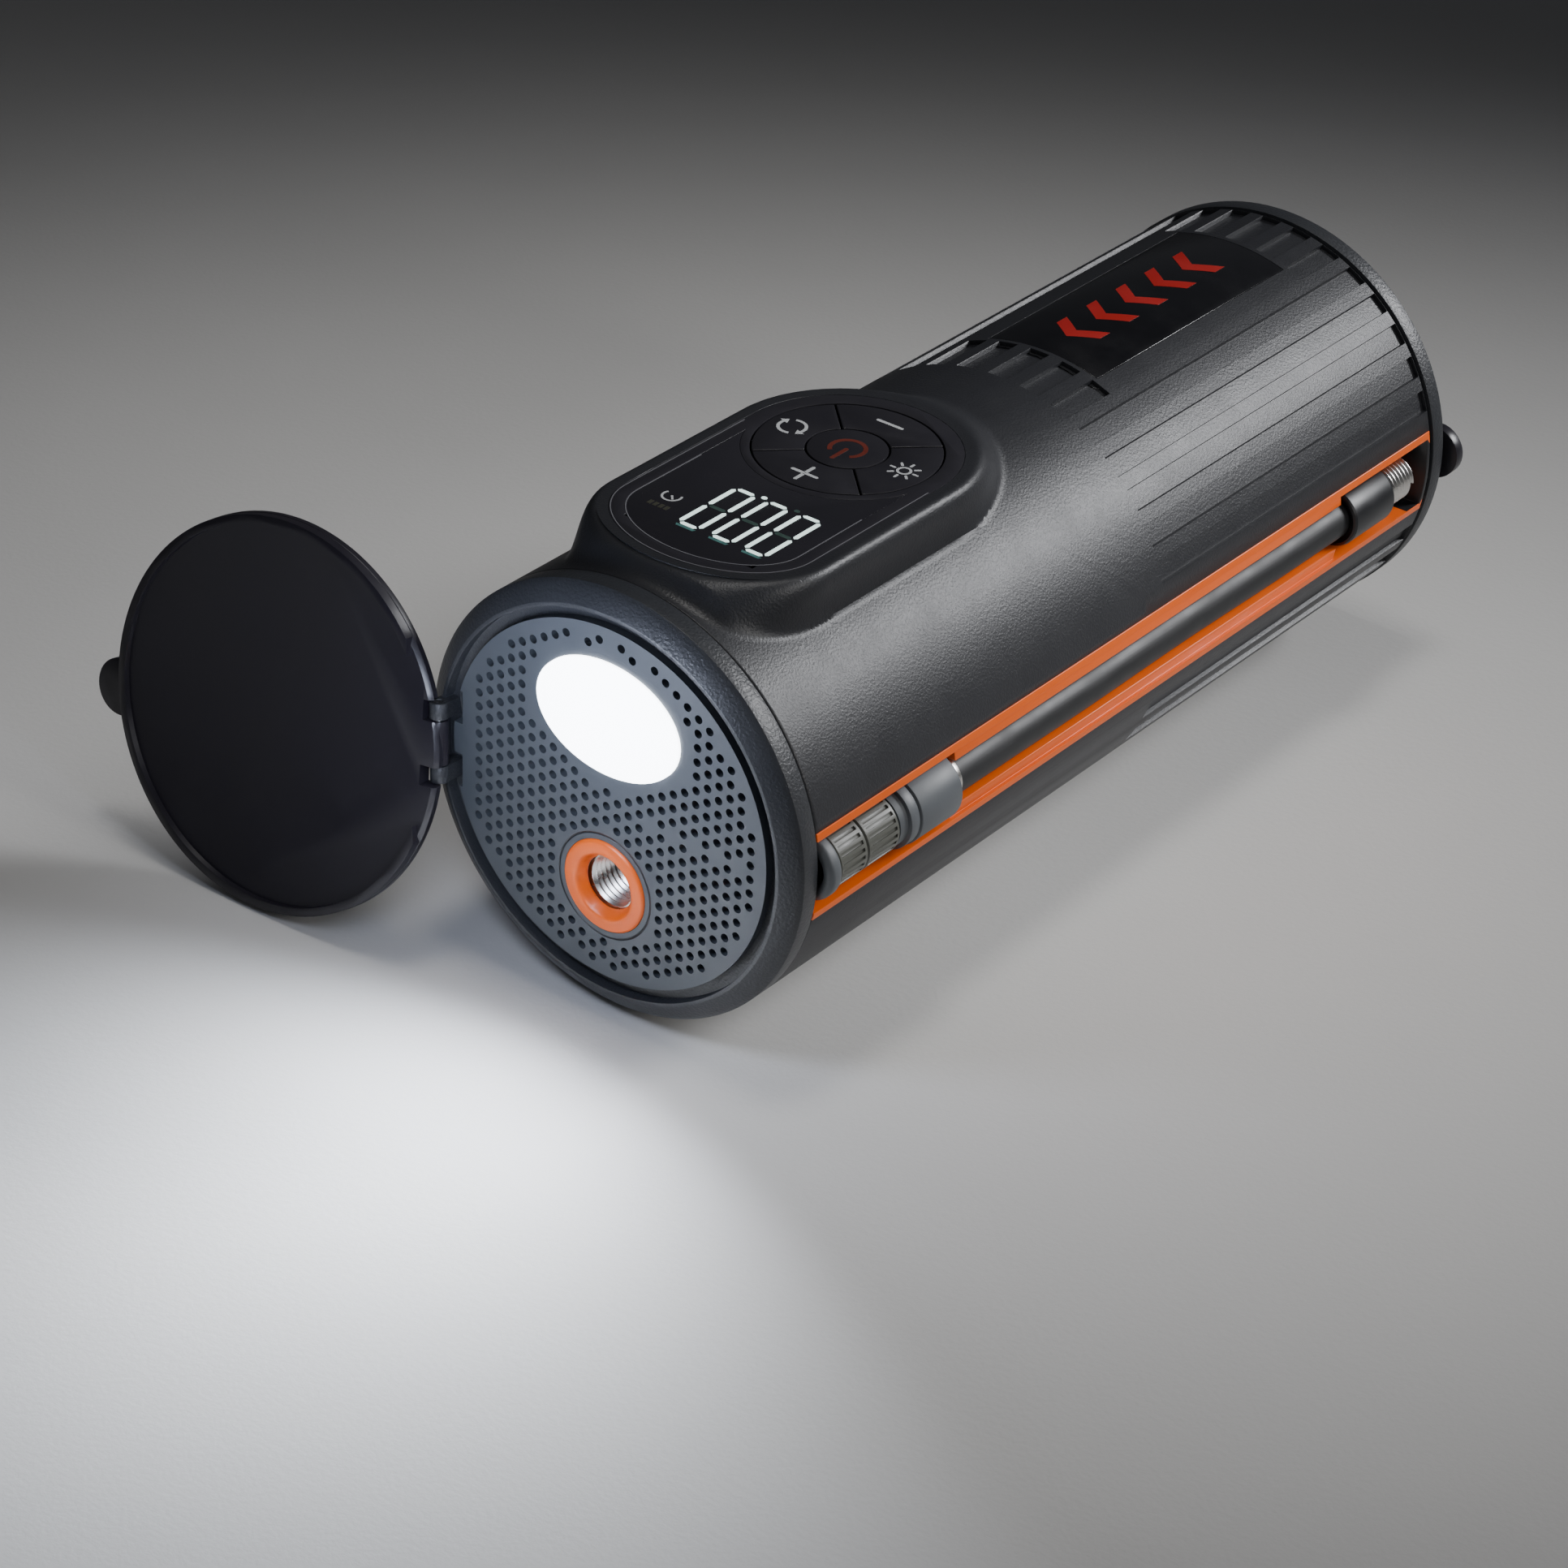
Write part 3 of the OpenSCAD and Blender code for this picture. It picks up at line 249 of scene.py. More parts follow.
def surface(name, colour, second, roughness, ior=1.5, metallic=0.0, mottle_mm=9.0, rough_spread=0.06,
            grain_mm=0.5, grain_depth_mm=0.01, leather=False, stretch=(1, 1, 1), coat=0.0, groove=None):
    """A solid material: slow colour drift, uneven gloss and a surface grain of a real size.

    stretch squeezes the grain along an axis, as brushing or extruding does. leather adds the cells of a
    spark-eroded leather grain. groove is (x, z, radius, width, depth) of a turned groove, in body mm; its
    line is bumped in and also painted near black as painted shade.
    """
    m, tree = new_material(name)
    where = add(tree, "ShaderNodeTexCoord").outputs["Object"]
    stretched = add(tree, "ShaderNodeMapping", {"Vector": where, "Scale": stretch}).outputs["Vector"]
    drift = add(tree, "ShaderNodeTexNoise",
                {"Vector": where, "Scale": 1 / (mottle_mm * MM), "Detail": 3.0, "Roughness": 0.6})
    tone = add(tree, "ShaderNodeMix", {"Factor": drift.outputs["Fac"], "A": hex_colour(colour),
                                       "B": hex_colour(second)}, data_type="RGBA")
    grain = add(tree, "ShaderNodeTexNoise",
                {"Vector": stretched, "Scale": 1 / (grain_mm * MM), "Detail": 2.0, "Roughness": 0.55})
    height = grain.outputs["Fac"]
    if leather:
        bent = add(tree, "ShaderNodeMix", {"Factor": 0.0006, "A": where, "B": grain.outputs["Color"]},
                   data_type="VECTOR").outputs["Result"]
        cells = add(tree, "ShaderNodeTexVoronoi",
                    {"Vector": bent, "Scale": 1 / (1.5 * grain_mm * MM), "Smoothness": 0.35},
                    feature="SMOOTH_F1")
        height = add(tree, "ShaderNodeMath", {0: cells.outputs["Distance"], 1: grain.outputs["Fac"]},
                     operation="ADD").outputs["Value"]
    bump = add(tree, "ShaderNodeBump", {"Strength": 1.0, "Distance": grain_depth_mm * MM, "Height": height})
    normal = bump.outputs["Normal"]
    if groove:
        x, z, radius, width, depth = groove
        centred = add(tree, "ShaderNodeVectorMath",
                      {0: where, 1: (x * MM, 0, AXIS_Z + z * MM)}, operation="SUBTRACT").outputs["Vector"]
        flat = add(tree, "ShaderNodeVectorMath", {0: centred, 1: (1, 0, 1)}, operation="MULTIPLY")
        reach = add(tree, "ShaderNodeVectorMath", {0: flat.outputs["Vector"]}, operation="LENGTH")
        off = add(tree, "ShaderNodeMath", {0: reach.outputs["Value"], 1: radius * MM}, operation="SUBTRACT")
        near = add(tree, "ShaderNodeMath", {0: off.outputs["Value"]}, operation="ABSOLUTE")
        groove_and_shade_mask = add(tree, "ShaderNodeMapRange",
                    {"Value": near.outputs["Value"], "From Min": 0.0, "From Max": width / 2 * MM,
                     "To Min": 0.0, "To Max": 1.0}, interpolation_type="SMOOTHSTEP")
        normal = add(tree, "ShaderNodeBump",
                     {"Strength": 1.0, "Distance": depth * MM, "Height": groove_and_shade_mask.outputs["Result"],
                      "Normal": normal}).outputs["Normal"]
        # Painted shade: the groove's line is coloured near black
        tone = add(tree, "ShaderNodeMix", {"Factor": groove_and_shade_mask.outputs["Result"], "A": hex_colour("#0c0d0f"),
                                           "B": tone.outputs["Result"]}, data_type="RGBA")
    gloss = add(tree, "ShaderNodeMapRange",
                {"Value": drift.outputs["Fac"], "From Min": 0.3, "From Max": 0.7,
                 "To Min": roughness - rough_spread, "To Max": roughness + rough_spread})
    shader = add(tree, "ShaderNodeBsdfPrincipled",
                 {"Base Color": tone.outputs["Result"], "Roughness": gloss.outputs["Result"],
                  "Normal": normal, "Metallic": metallic, "Coat Weight": coat, "Coat Roughness": 0.15})
    if not metallic:
        shader.inputs["IOR"].default_value = ior
    add(tree, "ShaderNodeOutputMaterial", {"Surface": shader.outputs["BSDF"]})
    return m


def glowing(name, colour, strength, body_colour, roughness, ripple_mm):
    """A lit lens or display film: it shines evenly and has a faintly rippled clear surface."""
    m, tree = new_material(name)
    where = add(tree, "ShaderNodeTexCoord").outputs["Object"]
    ripple = add(tree, "ShaderNodeTexNoise", {"Vector": where, "Scale": 1 / (ripple_mm * MM), "Detail": 1.0})
    bump = add(tree, "ShaderNodeBump",
               {"Strength": 0.4, "Distance": 0.02 * MM, "Height": ripple.outputs["Fac"]})
    tone = add(tree, "ShaderNodeMix", {"Factor": ripple.outputs["Fac"], "A": hex_colour(colour),
                                       "B": hex_colour(body_colour)}, data_type="RGBA")
    shader = add(tree, "ShaderNodeBsdfPrincipled",
                 {"Base Color": tone.outputs["Result"], "Roughness": roughness,
                  "Normal": bump.outputs["Normal"], "Emission Color": hex_colour(colour),
                  "Emission Strength": strength})
    add(tree, "ShaderNodeOutputMaterial", {"Surface": shader.outputs["BSDF"]})
    return m


# ABS moulded in a spark-eroded tool: a leather grain of about 0.5 mm that breaks up every highlight
shell_abs = surface("moulded_abs_leather_grain", "#1d1e22", "#202125", 0.44, 1.53, rough_spread=0.02,
                    grain_mm=0.32, grain_depth_mm=0.032, leather=True)
# The same ABS in the end rings, with a slightly coarser grain
ring_abs = surface("moulded_abs_ring", "#26282c", "#2a2c30", 0.42, 1.53, rough_spread=0.02,
                   grain_mm=0.4, grain_depth_mm=0.05, leather=True)
# ABS with a fine satin finish for the grille, with one turned groove round the outlet, its line painted dark
# as painted shade
grille_abs = surface("moulded_abs_satin_grille", "#3c4147", "#40454b", 0.44, 1.53, grain_mm=0.25,
                     grain_depth_mm=0.008, groove=(0, OUTLET_Z, 9.9, 0.5, 0.25))
# Soft TPE of the lids: near black with a violet cast, a low sheen and faint flow lines
lid_tpe = surface("moulded_tpe_lid", "#1c1a21", "#201e25", 0.36, 1.5, grain_mm=0.3, grain_depth_mm=0.006,
                  stretch=(1, 1, 0.15))
# Plain black ABS for what is hidden behind the lids
inner_abs = surface("moulded_abs_inner", "#17181b", "#1c1d20", 0.5, 1.53, grain_depth_mm=0.006)
# Orange ABS of the hose channel and the outlet ring, a polished tool's satin
orange_abs = surface("moulded_abs_orange", "#e55c06", "#ea6409", 0.36, 1.53, grain_mm=0.4,
                     grain_depth_mm=0.004)
# Moulded rubber of the base pad, dull and slightly dusty
pad_rubber = surface("moulded_rubber_pad", "#1a1a1b", "#222223", 0.72, 1.52, grain_mm=0.4,
                     grain_depth_mm=0.02)
# Extruded rubber of the hose, with drawn lines along it
hose_rubber = surface("extruded_rubber_hose", "#17181a", "#1c1d1f", 0.5, 1.52, grain_mm=0.35,
                      grain_depth_mm=0.012, stretch=(1, 0.03, 1))
# Grey glass-filled nylon of the valve chuck, matt with tiny flow marks
chuck_nylon = surface("moulded_nylon_chuck", "#4b4f53", "#565a5e", 0.46, 1.53, grain_mm=0.3,
                      grain_depth_mm=0.01)
# The same nylon in the warmer grey of the knurled nut
nut_nylon = surface("moulded_nylon_nut", "#4a4b46", "#55564f", 0.42, 1.53, grain_mm=0.3,
                    grain_depth_mm=0.01)
# Black ABS of small trim, also laid on the channel's orange end as painted shade
black_abs = surface("moulded_abs_black", "#121316", "#18191c", 0.38, 1.53, grain_depth_mm=0.004)
# Turned and plated steel: rings from the lathe
steel = surface("turned_steel", "#b4b7bb", "#c8cbcf", 0.3, metallic=1.0, grain_mm=0.15,
                grain_depth_mm=0.004, stretch=(0.1, 1, 0.1))
# Nickel plate on the threads
nickel = surface("plated_nickel", "#cfcdc9", "#dcdad6", 0.28, metallic=1.0, grain_mm=0.2,
                 grain_depth_mm=0.003)
# Brass of the gear and its bearing
brass = surface("hobbed_brass", "#b8923f", "#c9a552", 0.3, metallic=1.0, grain_mm=0.2,
                grain_depth_mm=0.004)
# Die-cast zinc of the pump
cast_metal = surface("cast_zinc", "#7b8087", "#8d9298", 0.48, metallic=1.0, grain_mm=0.6,
                     grain_depth_mm=0.03)
# Glass-epoxy board with its green mask
circuit_board = surface("solder_mask_green", "#1f4d2b", "#2a5f37", 0.35, 1.55, grain_mm=0.8,
                        grain_depth_mm=0.01, coat=0.3)
# Panel cover: black ABS with a fine satin texture
panel_abs = surface("moulded_abs_panel", "#222126", "#252429", 0.34, 1.53, grain_mm=0.2,
                    grain_depth_mm=0.003)
# Smoked polycarbonate over the display, smooth and glossy
window_pc = surface("smoked_polycarbonate", "#1f1e23", "#212025", 0.26, 1.58, grain_mm=2.0,
                    grain_depth_mm=0.002, rough_spread=0.02)
# Keys: black silicone with a satin skin
key_silicone = surface("moulded_silicone_key", "#201f24", "#222126", 0.38, 1.43, grain_mm=0.25,
                       grain_depth_mm=0.004)
# Pad-printed ink, slightly rough; the light edge colour among them is no print but a painted highlight
grey_ink = surface("printed_ink_grey", "#a9abad", "#b4b6b8", 0.5, grain_mm=0.15, grain_depth_mm=0.003)
red_ink = surface("printed_ink_red", "#8e1410", "#9a1a15", 0.45, grain_mm=0.15, grain_depth_mm=0.003)
dim_red = surface("printed_ink_dim_red", "#561e14", "#602217", 0.5, grain_mm=0.15, grain_depth_mm=0.003)
edge_highlight_paint = surface("painted_edge_highlight", "#66666b", "#6d6d72", 0.4, grain_mm=0.15, grain_depth_mm=0.003)
dim_ink = surface("printed_ink_dim", "#2f2f27", "#35352b", 0.5, grain_mm=0.15, grain_depth_mm=0.003)
# Label: gloss black polyester film
label_film = surface("polyester_label_film", "#0a0a0d", "#0d0d11", 0.24, 1.6, grain_mm=3.0,
                     grain_depth_mm=0.004, coat=0.3)
# Shrink film round the battery cells
cell_wrap = surface("shrink_film_blue", "#1f5a8c", "#27679c", 0.3, 1.55, grain_mm=2.5,
                    grain_depth_mm=0.03)
# Vacuum-metallised reflector
reflector = surface("metallised_reflector", "#d6d8da", "#e0e2e4", 0.08, metallic=1.0, grain_mm=1.5,
                    grain_depth_mm=0.01)
# Phosphor over the torch's chips
phosphor = glowing("led_phosphor", "#fff6d8", 3.0, "#f2e39a", 0.5, 0.4)
# Frosted torch lens, lit from behind
torch_lens = glowing("frosted_polycarbonate_torch", "#f4f9ff", 9.0, "#ffffff", 0.35, 0.8)
# Lit segments under the smoked window
lit_segment = glowing("lit_display_segment", "#cdebe5", 1.0, "#ffffff", 0.3, 0.6)
dark_segment = glowing("dark_display_segment", "#40544f", 0.05, "#2a3733", 0.3, 0.6)
glow_film = glowing("display_spill", "#4d7a77", 0.25, "#1c2a2a", 0.3, 0.6)


# ---------- upper shell ----------

def panel_distance(x, y):
    """Distance outside the panel's outline in plan: a round rear, straight flanks, an elliptical front."""
    if y >= KEY_Y:
        return math.hypot(x, y - KEY_Y) - PANEL_W
    if y >= NOSE_Y:
        return abs(x) - PANEL_W
    q = math.hypot(x / PANEL_W, (NOSE_Y - y) / NOSE)
    slope = math.hypot(x / PANEL_W ** 2, (NOSE_Y - y) / NOSE ** 2) / max(q, TINY)
    return (q - 1) / max(slope, TINY)


def smooth_step(value, low, high):
    """0 up to low, 1 from high on, and a smooth rise between them."""
    t = min(1.0, max(0.0, (value - low) / (high - low)))
    return t * t * (3 - 2 * t)


def platform_radius(angle, y):
    """Radius of the shell where the flat panel platform melts into the round body; angle is in radians."""
    s = math.sin(angle)
    if s < FLANK:
        return BODY_R
    plane = PANEL_TOP / s
    away = panel_distance(PANEL_TOP / math.tan(angle), y)
    share = 1 - smooth_step(away, BLEND_NEAR, BLEND_FAR)
    share *= smooth_step(y, shell_lo.y, shell_lo.y + BLEND_FRONT)
    return BODY_R + (plane - BODY_R) * share


def edge_profile(distance, lip=FLUTE_LIP):
    """1 inside a recess, 0 outside, with a rounded lip at distance 0 (inside is positive)."""
    return smooth_step(distance, -0.3 * lip, lip)


def recess_depth(arc, y):
    """Depth of the flutes and of the label's seat at an arc length from the top line."""
    depth = 0.0
    for k in FLUTES:
        off = abs(arc - k * FLUTE_PITCH)
        if off > FLUTE_W:
            continue
        if abs(k) >= LONG_FROM:
            along = edge_profile(min(y - GRIP_FRONT, GRIP_REAR - y))
        else:
            along = max(edge_profile(min(y - GRIP_FRONT, GRIP_FRONT + STUB_LEN - y)),
                        edge_profile(min(y - GRIP_REAR + STUB_LEN, GRIP_REAR - y)))
        depth = max(depth, FLUTE_DEPTH * edge_profile(FLUTE_W / 2 - off) * along)
    seat = edge_profile(SEAT_EDGE - abs(arc), SEAT_LIP)
    seat *= edge_profile(min(y - label_lo.y, label_hi.y - y) + SEAT_GAP, SEAT_LIP)
    return max(depth, SEAT_DEPTH * seat)


def thinned(marks, first, last):
    """The marks from first to last in order, without those too close to the one before."""
    kept = sorted(m for m in marks if first <= m <= last)
    return [m for i, m in enumerate(kept) if i == 0 or m - kept[i - 1] > LEAST_GAP]


def skin_arcs():
    """Arc lengths from the top line at which the grip needs a column of vertices."""
    first, last = (math.asin(CHANNEL_H / BODY_R) - math.pi / 2) * BODY_R, math.pi / 2 * BODY_R
    marks = {first, last}
    for k in FLUTES:
        centre = k * FLUTE_PITCH
        marks |= {centre + side * (FLUTE_W / 2 - s) for side in (-1, 1) for s in LIP_MARKS}
        marks |= {centre, centre + FLUTE_PITCH / 2}
    marks |= {side * (SEAT_EDGE - s) for side in (-1, 1) for s in SEAT_MARKS}
    return thinned(marks, first, last)


def skin_rows():
    """Distances from the front at which the grip needs a row of vertices."""
    marks = {JOIN_Y, shell_hi.y}
    marks |= {end + s for end in (GRIP_FRONT, GRIP_REAR - STUB_LEN) for s in LIP_MARKS}
    marks |= {end - s for end in (GRIP_REAR, GRIP_FRONT + STUB_LEN) for s in LIP_MARKS}
    marks |= {label_lo.y - SEAT_GAP + s for s in SEAT_MARKS}
    marks |= {label_hi.y + SEAT_GAP - s for s in SEAT_MARKS}
    marks |= {JOIN_Y + i * ROW_STEP for i in range(1, int((shell_hi.y - JOIN_Y) / ROW_STEP))}
    return thinned(marks, JOIN_Y, shell_hi.y)


def grid(bm, columns, rows, place):
    """A sheet of quads whose corner (i, j) is put at place(i, j)."""
    made = bmesh.ops.create_grid(bm, x_segments=columns - 1, y_segments=rows - 1, size=1)["verts"]
    for v in made:
        i = round((v.co.x + 1) / 2 * (columns - 1))
        j = round((v.co.y + 1) / 2 * (rows - 1))
        v.co = place(i, j)


def polar(radius, arc, y):
    """A point at an arc length from the top line, counted towards -x, at that radius and y."""
    angle = math.pi / 2 + arc / BODY_R
    return Vector((radius * math.cos(angle), y, radius * math.sin(angle)))


def collar_rim(arcs):
    """The collar's outer boundary as (arc, y), counted round: rear, -x side, front, +x side."""
    sides, fronts = 64, 110
    side = [JOIN_Y + (shell_lo.y - JOIN_Y) * i / sides for i in range(sides + 1)]
    front = [arcs[-1] + (arcs[0] - arcs[-1]) * i / fronts for i in range(fronts + 1)]
    rim = [(a, JOIN_Y) for a in arcs[:-1]] + [(arcs[-1], y) for y in side[:-1]]
    rim += [(a, shell_lo.y) for a in front[:-1]] + [(arcs[0], y) for y in reversed(side[1:])]
    return rim + rim[:1]


def seat_share(arc, y):
    """The share of the way from the panel's middle to a rim point at which the panel's outline lies."""
    low, high = 0.0, 1.0
    for _ in range(40):
        share = (low + high) / 2
        angle = math.pi / 2 + arc * share / BODY_R
        inside = math.sin(angle) > FLANK and panel_distance(
            PANEL_TOP / math.tan(angle), PANEL_MIDDLE + (y - PANEL_MIDDLE) * share) < 0
        low, high = (share, high) if inside else (low, share)
    return low


def upper_skin():
    """The upper shell: a collar of quads between the panel's seat and the body, then the fluted grip."""
    arcs, rows = skin_arcs(), skin_rows()
    bm = bmesh.new()
    grid(bm, len(arcs), len(rows),
         lambda i, j: polar(BODY_R - recess_depth(arcs[i], rows[j]), arcs[i], rows[j]))

    rim = collar_rim(arcs)
    seats = [seat_share(*point) for point in rim]
    seat_wall = ((0.0, -1.3), (0.0, -0.16), (0.05, -0.04))    # out and up from the panel's rim
    levels, crowding = 52, 1.6                                # levels crowd towards the seat

    def collar(i, j):
        """The collar's point at rim place i and level j: the seat's wall first, then out to the rim."""
        share = seats[i]
        if j >= len(seat_wall):
            share += (1 - share) * ((j - 2) / (levels - 3)) ** crowding
        arc, y = rim[i][0] * share, PANEL_MIDDLE + (rim[i][1] - PANEL_MIDDLE) * share
        point = polar(platform_radius(math.pi / 2 + arc / BODY_R, y), arc, y)
        if j < len(seat_wall):
            out, up = seat_wall[j]
            aside = Vector((point.x, point.y - PANEL_MIDDLE, 0)).normalized() * out
            point = Vector((point.x, point.y, PANEL_TOP + up)) + aside
        return point

    grid(bm, len(rim), levels, collar)
    bmesh.ops.remove_doubles(bm, verts=bm.verts, dist=0.004)
    bmesh.ops.recalc_face_normals(bm, faces=bm.faces)
    if sum(f.normal.z * f.calc_area() for f in bm.faces) < 0:
        bmesh.ops.reverse_faces(bm, faces=bm.faces)
    obj = piece("upper_skin", bm, "housing", shell_abs, ("upper_shell",), 28)
    wall = obj.modifiers.new("wall", "SOLIDIFY")
    wall.thickness = 2.0 * MM
    wall.offset = -1


upper_skin()

# ---------- CAD pieces with rounded edges ----------

ROUNDED = [
    ("lower_shell", shell_abs, "shell_abs", "housing", 0.12),
    ("front_ring", ring_abs, "ring_abs", "housing", 0.22),
    ("rear_ring", ring_abs, "ring_abs", "housing", 0.22),
    ("front_lid", lid_tpe, "lid_tpe", "front_lid", 0.18),
    ("rear_lid", lid_tpe, "lid_tpe", "rear_lid", 0.18),
    ("channel_liner", orange_abs, "orange_abs", "housing", 0.14),
    ("outlet_ring", orange_abs, "orange_abs", "housing", 0.15),
    ("panel_cover", panel_abs, "panel_gloss", "housing", 0.1),
    ("display_window", window_pc, "window_smoke", "housing", 0.06),
    ("label_plate", label_film, "label_film", "housing", 0.08),
    ("power_key", key_silicone, "key_silicone", "power_key", 0.16),
    ("plus_key", key_silicone, "key_silicone", "plus_key", 0.16),
    ("minus_key", key_silicone, "key_silicone", "minus_key", 0.16),
    ("mode_key", key_silicone, "key_silicone", "mode_key", 0.16),
    ("light_key", key_silicone, "key_silicone", "light_key", 0.16),
    ("chuck_body", chuck_nylon, "chuck_abs", "hose_unit", 0.12),
    ("chuck_nut", nut_nylon, "chuck_abs", "chuck_nut", 0.06),
    ("chuck_end_ring", chuck_nylon, "black_abs", "hose_unit", 0.3),
    ("hose_crimp", nickel, "nickel", "hose_unit", 0.1),
    ("base_pad", pad_rubber, "pad_rubber", "housing", 0.25),
]
rounded = {row[0]: rounded_copy(*row) for row in ROUNDED}


def painted_shade_channel_end(mesh):
    """Paints the liner's faces behind the fitting black, between the orange lips: painted shade at the
    channel's end.
    """
    start = nipple_hi.y + 1.0
    lip_r, lip_z = BODY_R - 0.4, CHANNEL_H - 1.7     # what lies beyond both stays orange
    mesh.materials.append(black_abs)
    bm = bmesh.new()
    bm.from_mesh(mesh)
    bmesh.ops.bisect_plane(bm, geom=whole(bm), plane_co=TO_ROW @ Vector((0, start, 0)), plane_no=(0, 1, 0))
    for f in bm.faces:
        middle = in_body(f.calc_center_median())
        on_lip = math.hypot(middle.x, middle.z) > lip_r and abs(middle.z) > lip_z
        # Painted shade: the orange end faces take the black material
        if middle.y > start and not on_lip:
            f.material_index = 1
    bm.to_mesh(mesh)
    bm.free()


painted_shade_channel_end(rounded["channel_liner"].data)

# ---------- hose, ferrule and threads ----------

def hose_tube():
    """The stowed hose: a tube with the slight waviness that rubber keeps from its coil."""
    bm = bmesh.new()
    bmesh.ops.create_circle(bm, cap_ends=False, radius=HOSE_R, segments=40)
    bmesh.ops.rotate(bm, verts=bm.verts, cent=(0, 0, 0), matrix=Matrix.Rotation(math.radians(-90), 3, "X"))
    bmesh.ops.translate(bm, verts=bm.verts, vec=(HOSE_X, hose_lo.y, 0))
    length, rings = hose_hi.y - hose_lo.y, 90
    edges = list(bm.edges)
    for _ in range(rings):
        made = bmesh.ops.extrude_edge_only(bm, edges=edges)["geom"]
        moved = [v for v in made if isinstance(v, bmesh.types.BMVert)]
        edges = [e for e in made if isinstance(e, bmesh.types.BMEdge)
                 and all(v in moved for v in e.verts)]
        bmesh.ops.translate(bm, verts=moved, vec=(0, length / rings, 0))
    waves = ((0, 0.12, 9), (2, 0.1, 13))     # axis, height in mm, radians from end to end
    for v in bm.verts:
        t = (v.co.y - hose_lo.y) / length
        for axis, height, sweep in waves:
            v.co[axis] += height * math.sin(math.pi * t) * math.sin(sweep * t)
    bmesh.ops.holes_fill(bm, edges=bm.edges, sides=0)
    bmesh.ops.recalc_face_normals(bm, faces=bm.faces)
    piece("hose_tube", bm, "hose_unit", hose_rubber, ("hose",), 60)


def hose_ferrule():
    """The black sleeve over the rear end of the hose, with a moulded step and a rounded mouth."""
    y0, y1, r = ferrule_lo.y, ferrule_hi.y, (ferrule_hi.x - ferrule_lo.x) / 2
    bm = bmesh.new()
    turned(bm, [(HOSE_R - 0.1, y0 + 0.7), (HOSE_R + 0.1, y0 + 0.3), (r - 0.7, y0), (r - 0.25, y0 + 0.12),
                (r, y0 + 0.5), (r, y1 - 0.9), (r - 0.1, y1 - 0.5), (r - 0.5, y1 - 0.1), (r - 0.9, y1),
                (3.2, y1), (3.2, y1 - 6), (HOSE_R - 0.1, y1 - 7)], 72)
    bmesh.ops.translate(bm, verts=bm.verts, vec=(HOSE_X, 0, 0))
    piece("ferrule_sleeve", bm, "hose_unit", black_abs, ("hose_ferrule",))


def nipple_thread():
    """The plated thread at the hose's end, which screws into the outlet."""
    collar, tip = ferrule_hi.y, nipple_hi.y
    r = (nipple_hi.x - nipple_lo.x) / 2
    bm = bmesh.new()
    threaded(bm, r - 0.5, r, 1.7, collar + 0.15, tip + 1, 1.1)
    turned(bm, [(1.7, collar - 5), (2.9, collar - 5), (2.9, collar + 0.1), (r - 0.4, collar + 0.1),
                (r - 0.4, collar + 0.4), (1.7, collar + 0.4)], 48)
    bmesh.ops.translate(bm, verts=bm.verts, vec=(HOSE_X, 0, 0))
    piece("nipple_thread", bm, "hose_nipple", nickel, ("hose_nipple",), 40)


def outlet_thread():
    """The threaded brass socket behind the orange ring, plated like the nipple."""
    y0, y1 = insert_lo.y, insert_hi.y
    bore = (insert_hi.x - insert_lo.x) / 2 - 1.3
    bm = bmesh.new()
    threaded(bm, bore, bore - 0.5, bore + 1.2, y0, y1, 1.15)
    bmesh.ops.translate(bm, verts=bm.verts, vec=(0, 0, OUTLET_Z))
    piece("outlet_thread", bm, "housing", nickel, ("outlet_insert",), 40)


hose_tube()
hose_ferrule()
nipple_thread()
outlet_thread()


# ---------- display ----------

DIGIT_W, DIGIT_PITCH, DIGIT_Y0, DIGIT_Y1 = 5.0, 6.9, 21.7, 37.9
DIGIT_X = (-3.0, -3.0 + DIGIT_PITCH, -3.0 + 2 * DIGIT_PITCH)
SEGMENT_W = 0.9
FILM = 0.03


def segment(bm, a, b):
    """One display segment: a bar with pointed ends."""
    run = (Vector(b) - Vector(a)).normalized()
    side = Vector((-run.y, run.x)) * SEGMENT_W / 2
    a, b = Vector(a), Vector(b)
    tip = run * SEGMENT_W / 2
    points = (a, a + tip + side, b - tip + side, b, b - tip - side, a + tip - side)
    polygon_shape(bm, [(p.x, p.y) for p in points])


def display():
    """Three digits showing zero, with their unlit middle segments, points and the light under them."""
    lit, dark, spill = bmesh.new(), bmesh.new(), bmesh.new()
    inset, gap = SEGMENT_W / 2, 0.3
    middle = (DIGIT_Y0 + DIGIT_Y1) / 2
    spill_y0, spill_y1, slant = DIGIT_Y0 - 0.15, DIGIT_Y0 - 0.75, 0.3
    point_y, point_w, point_half = DIGIT_Y1 + 0.1, 0.95, 0.08
    for x in DIGIT_X:
        x0, x1 = x - DIGIT_W / 2 + inset, x + DIGIT_W / 2 - inset
        y0, y1 = DIGIT_Y0 + inset, DIGIT_Y1 - inset
        for y in (y0, y1):
            segment(lit, (x0 + gap, y), (x1 - gap, y))
        for edge in (x0, x1):
            segment(lit, (edge, y0 + gap), (edge, middle - gap))
            segment(lit, (edge, middle + gap), (edge, y1 - gap))
        segment(dark, (x0 + gap, middle), (x1 - gap, middle))
        polygon_shape(spill, [(x0, spill_y0), (x1, spill_y0), (x1 - slant, spill_y1),
                              (x0 + slant, spill_y1)])
    for x, group in ((DIGIT_X[0] + DIGIT_PITCH / 2, lit), (DIGIT_X[1] + DIGIT_PITCH / 2, dark)):
        bar_shape(group, (x - point_half, point_y), (x + point_half, point_y), point_w)
    for name, bm, material in (("lit_segments", lit, lit_segment), ("dark_segments", dark, dark_segment),
                               ("display_spill", spill, glow_film)):
        raise_flat(bm, PANEL_TOP, FILM)
        piece(name, bm, "housing", material)


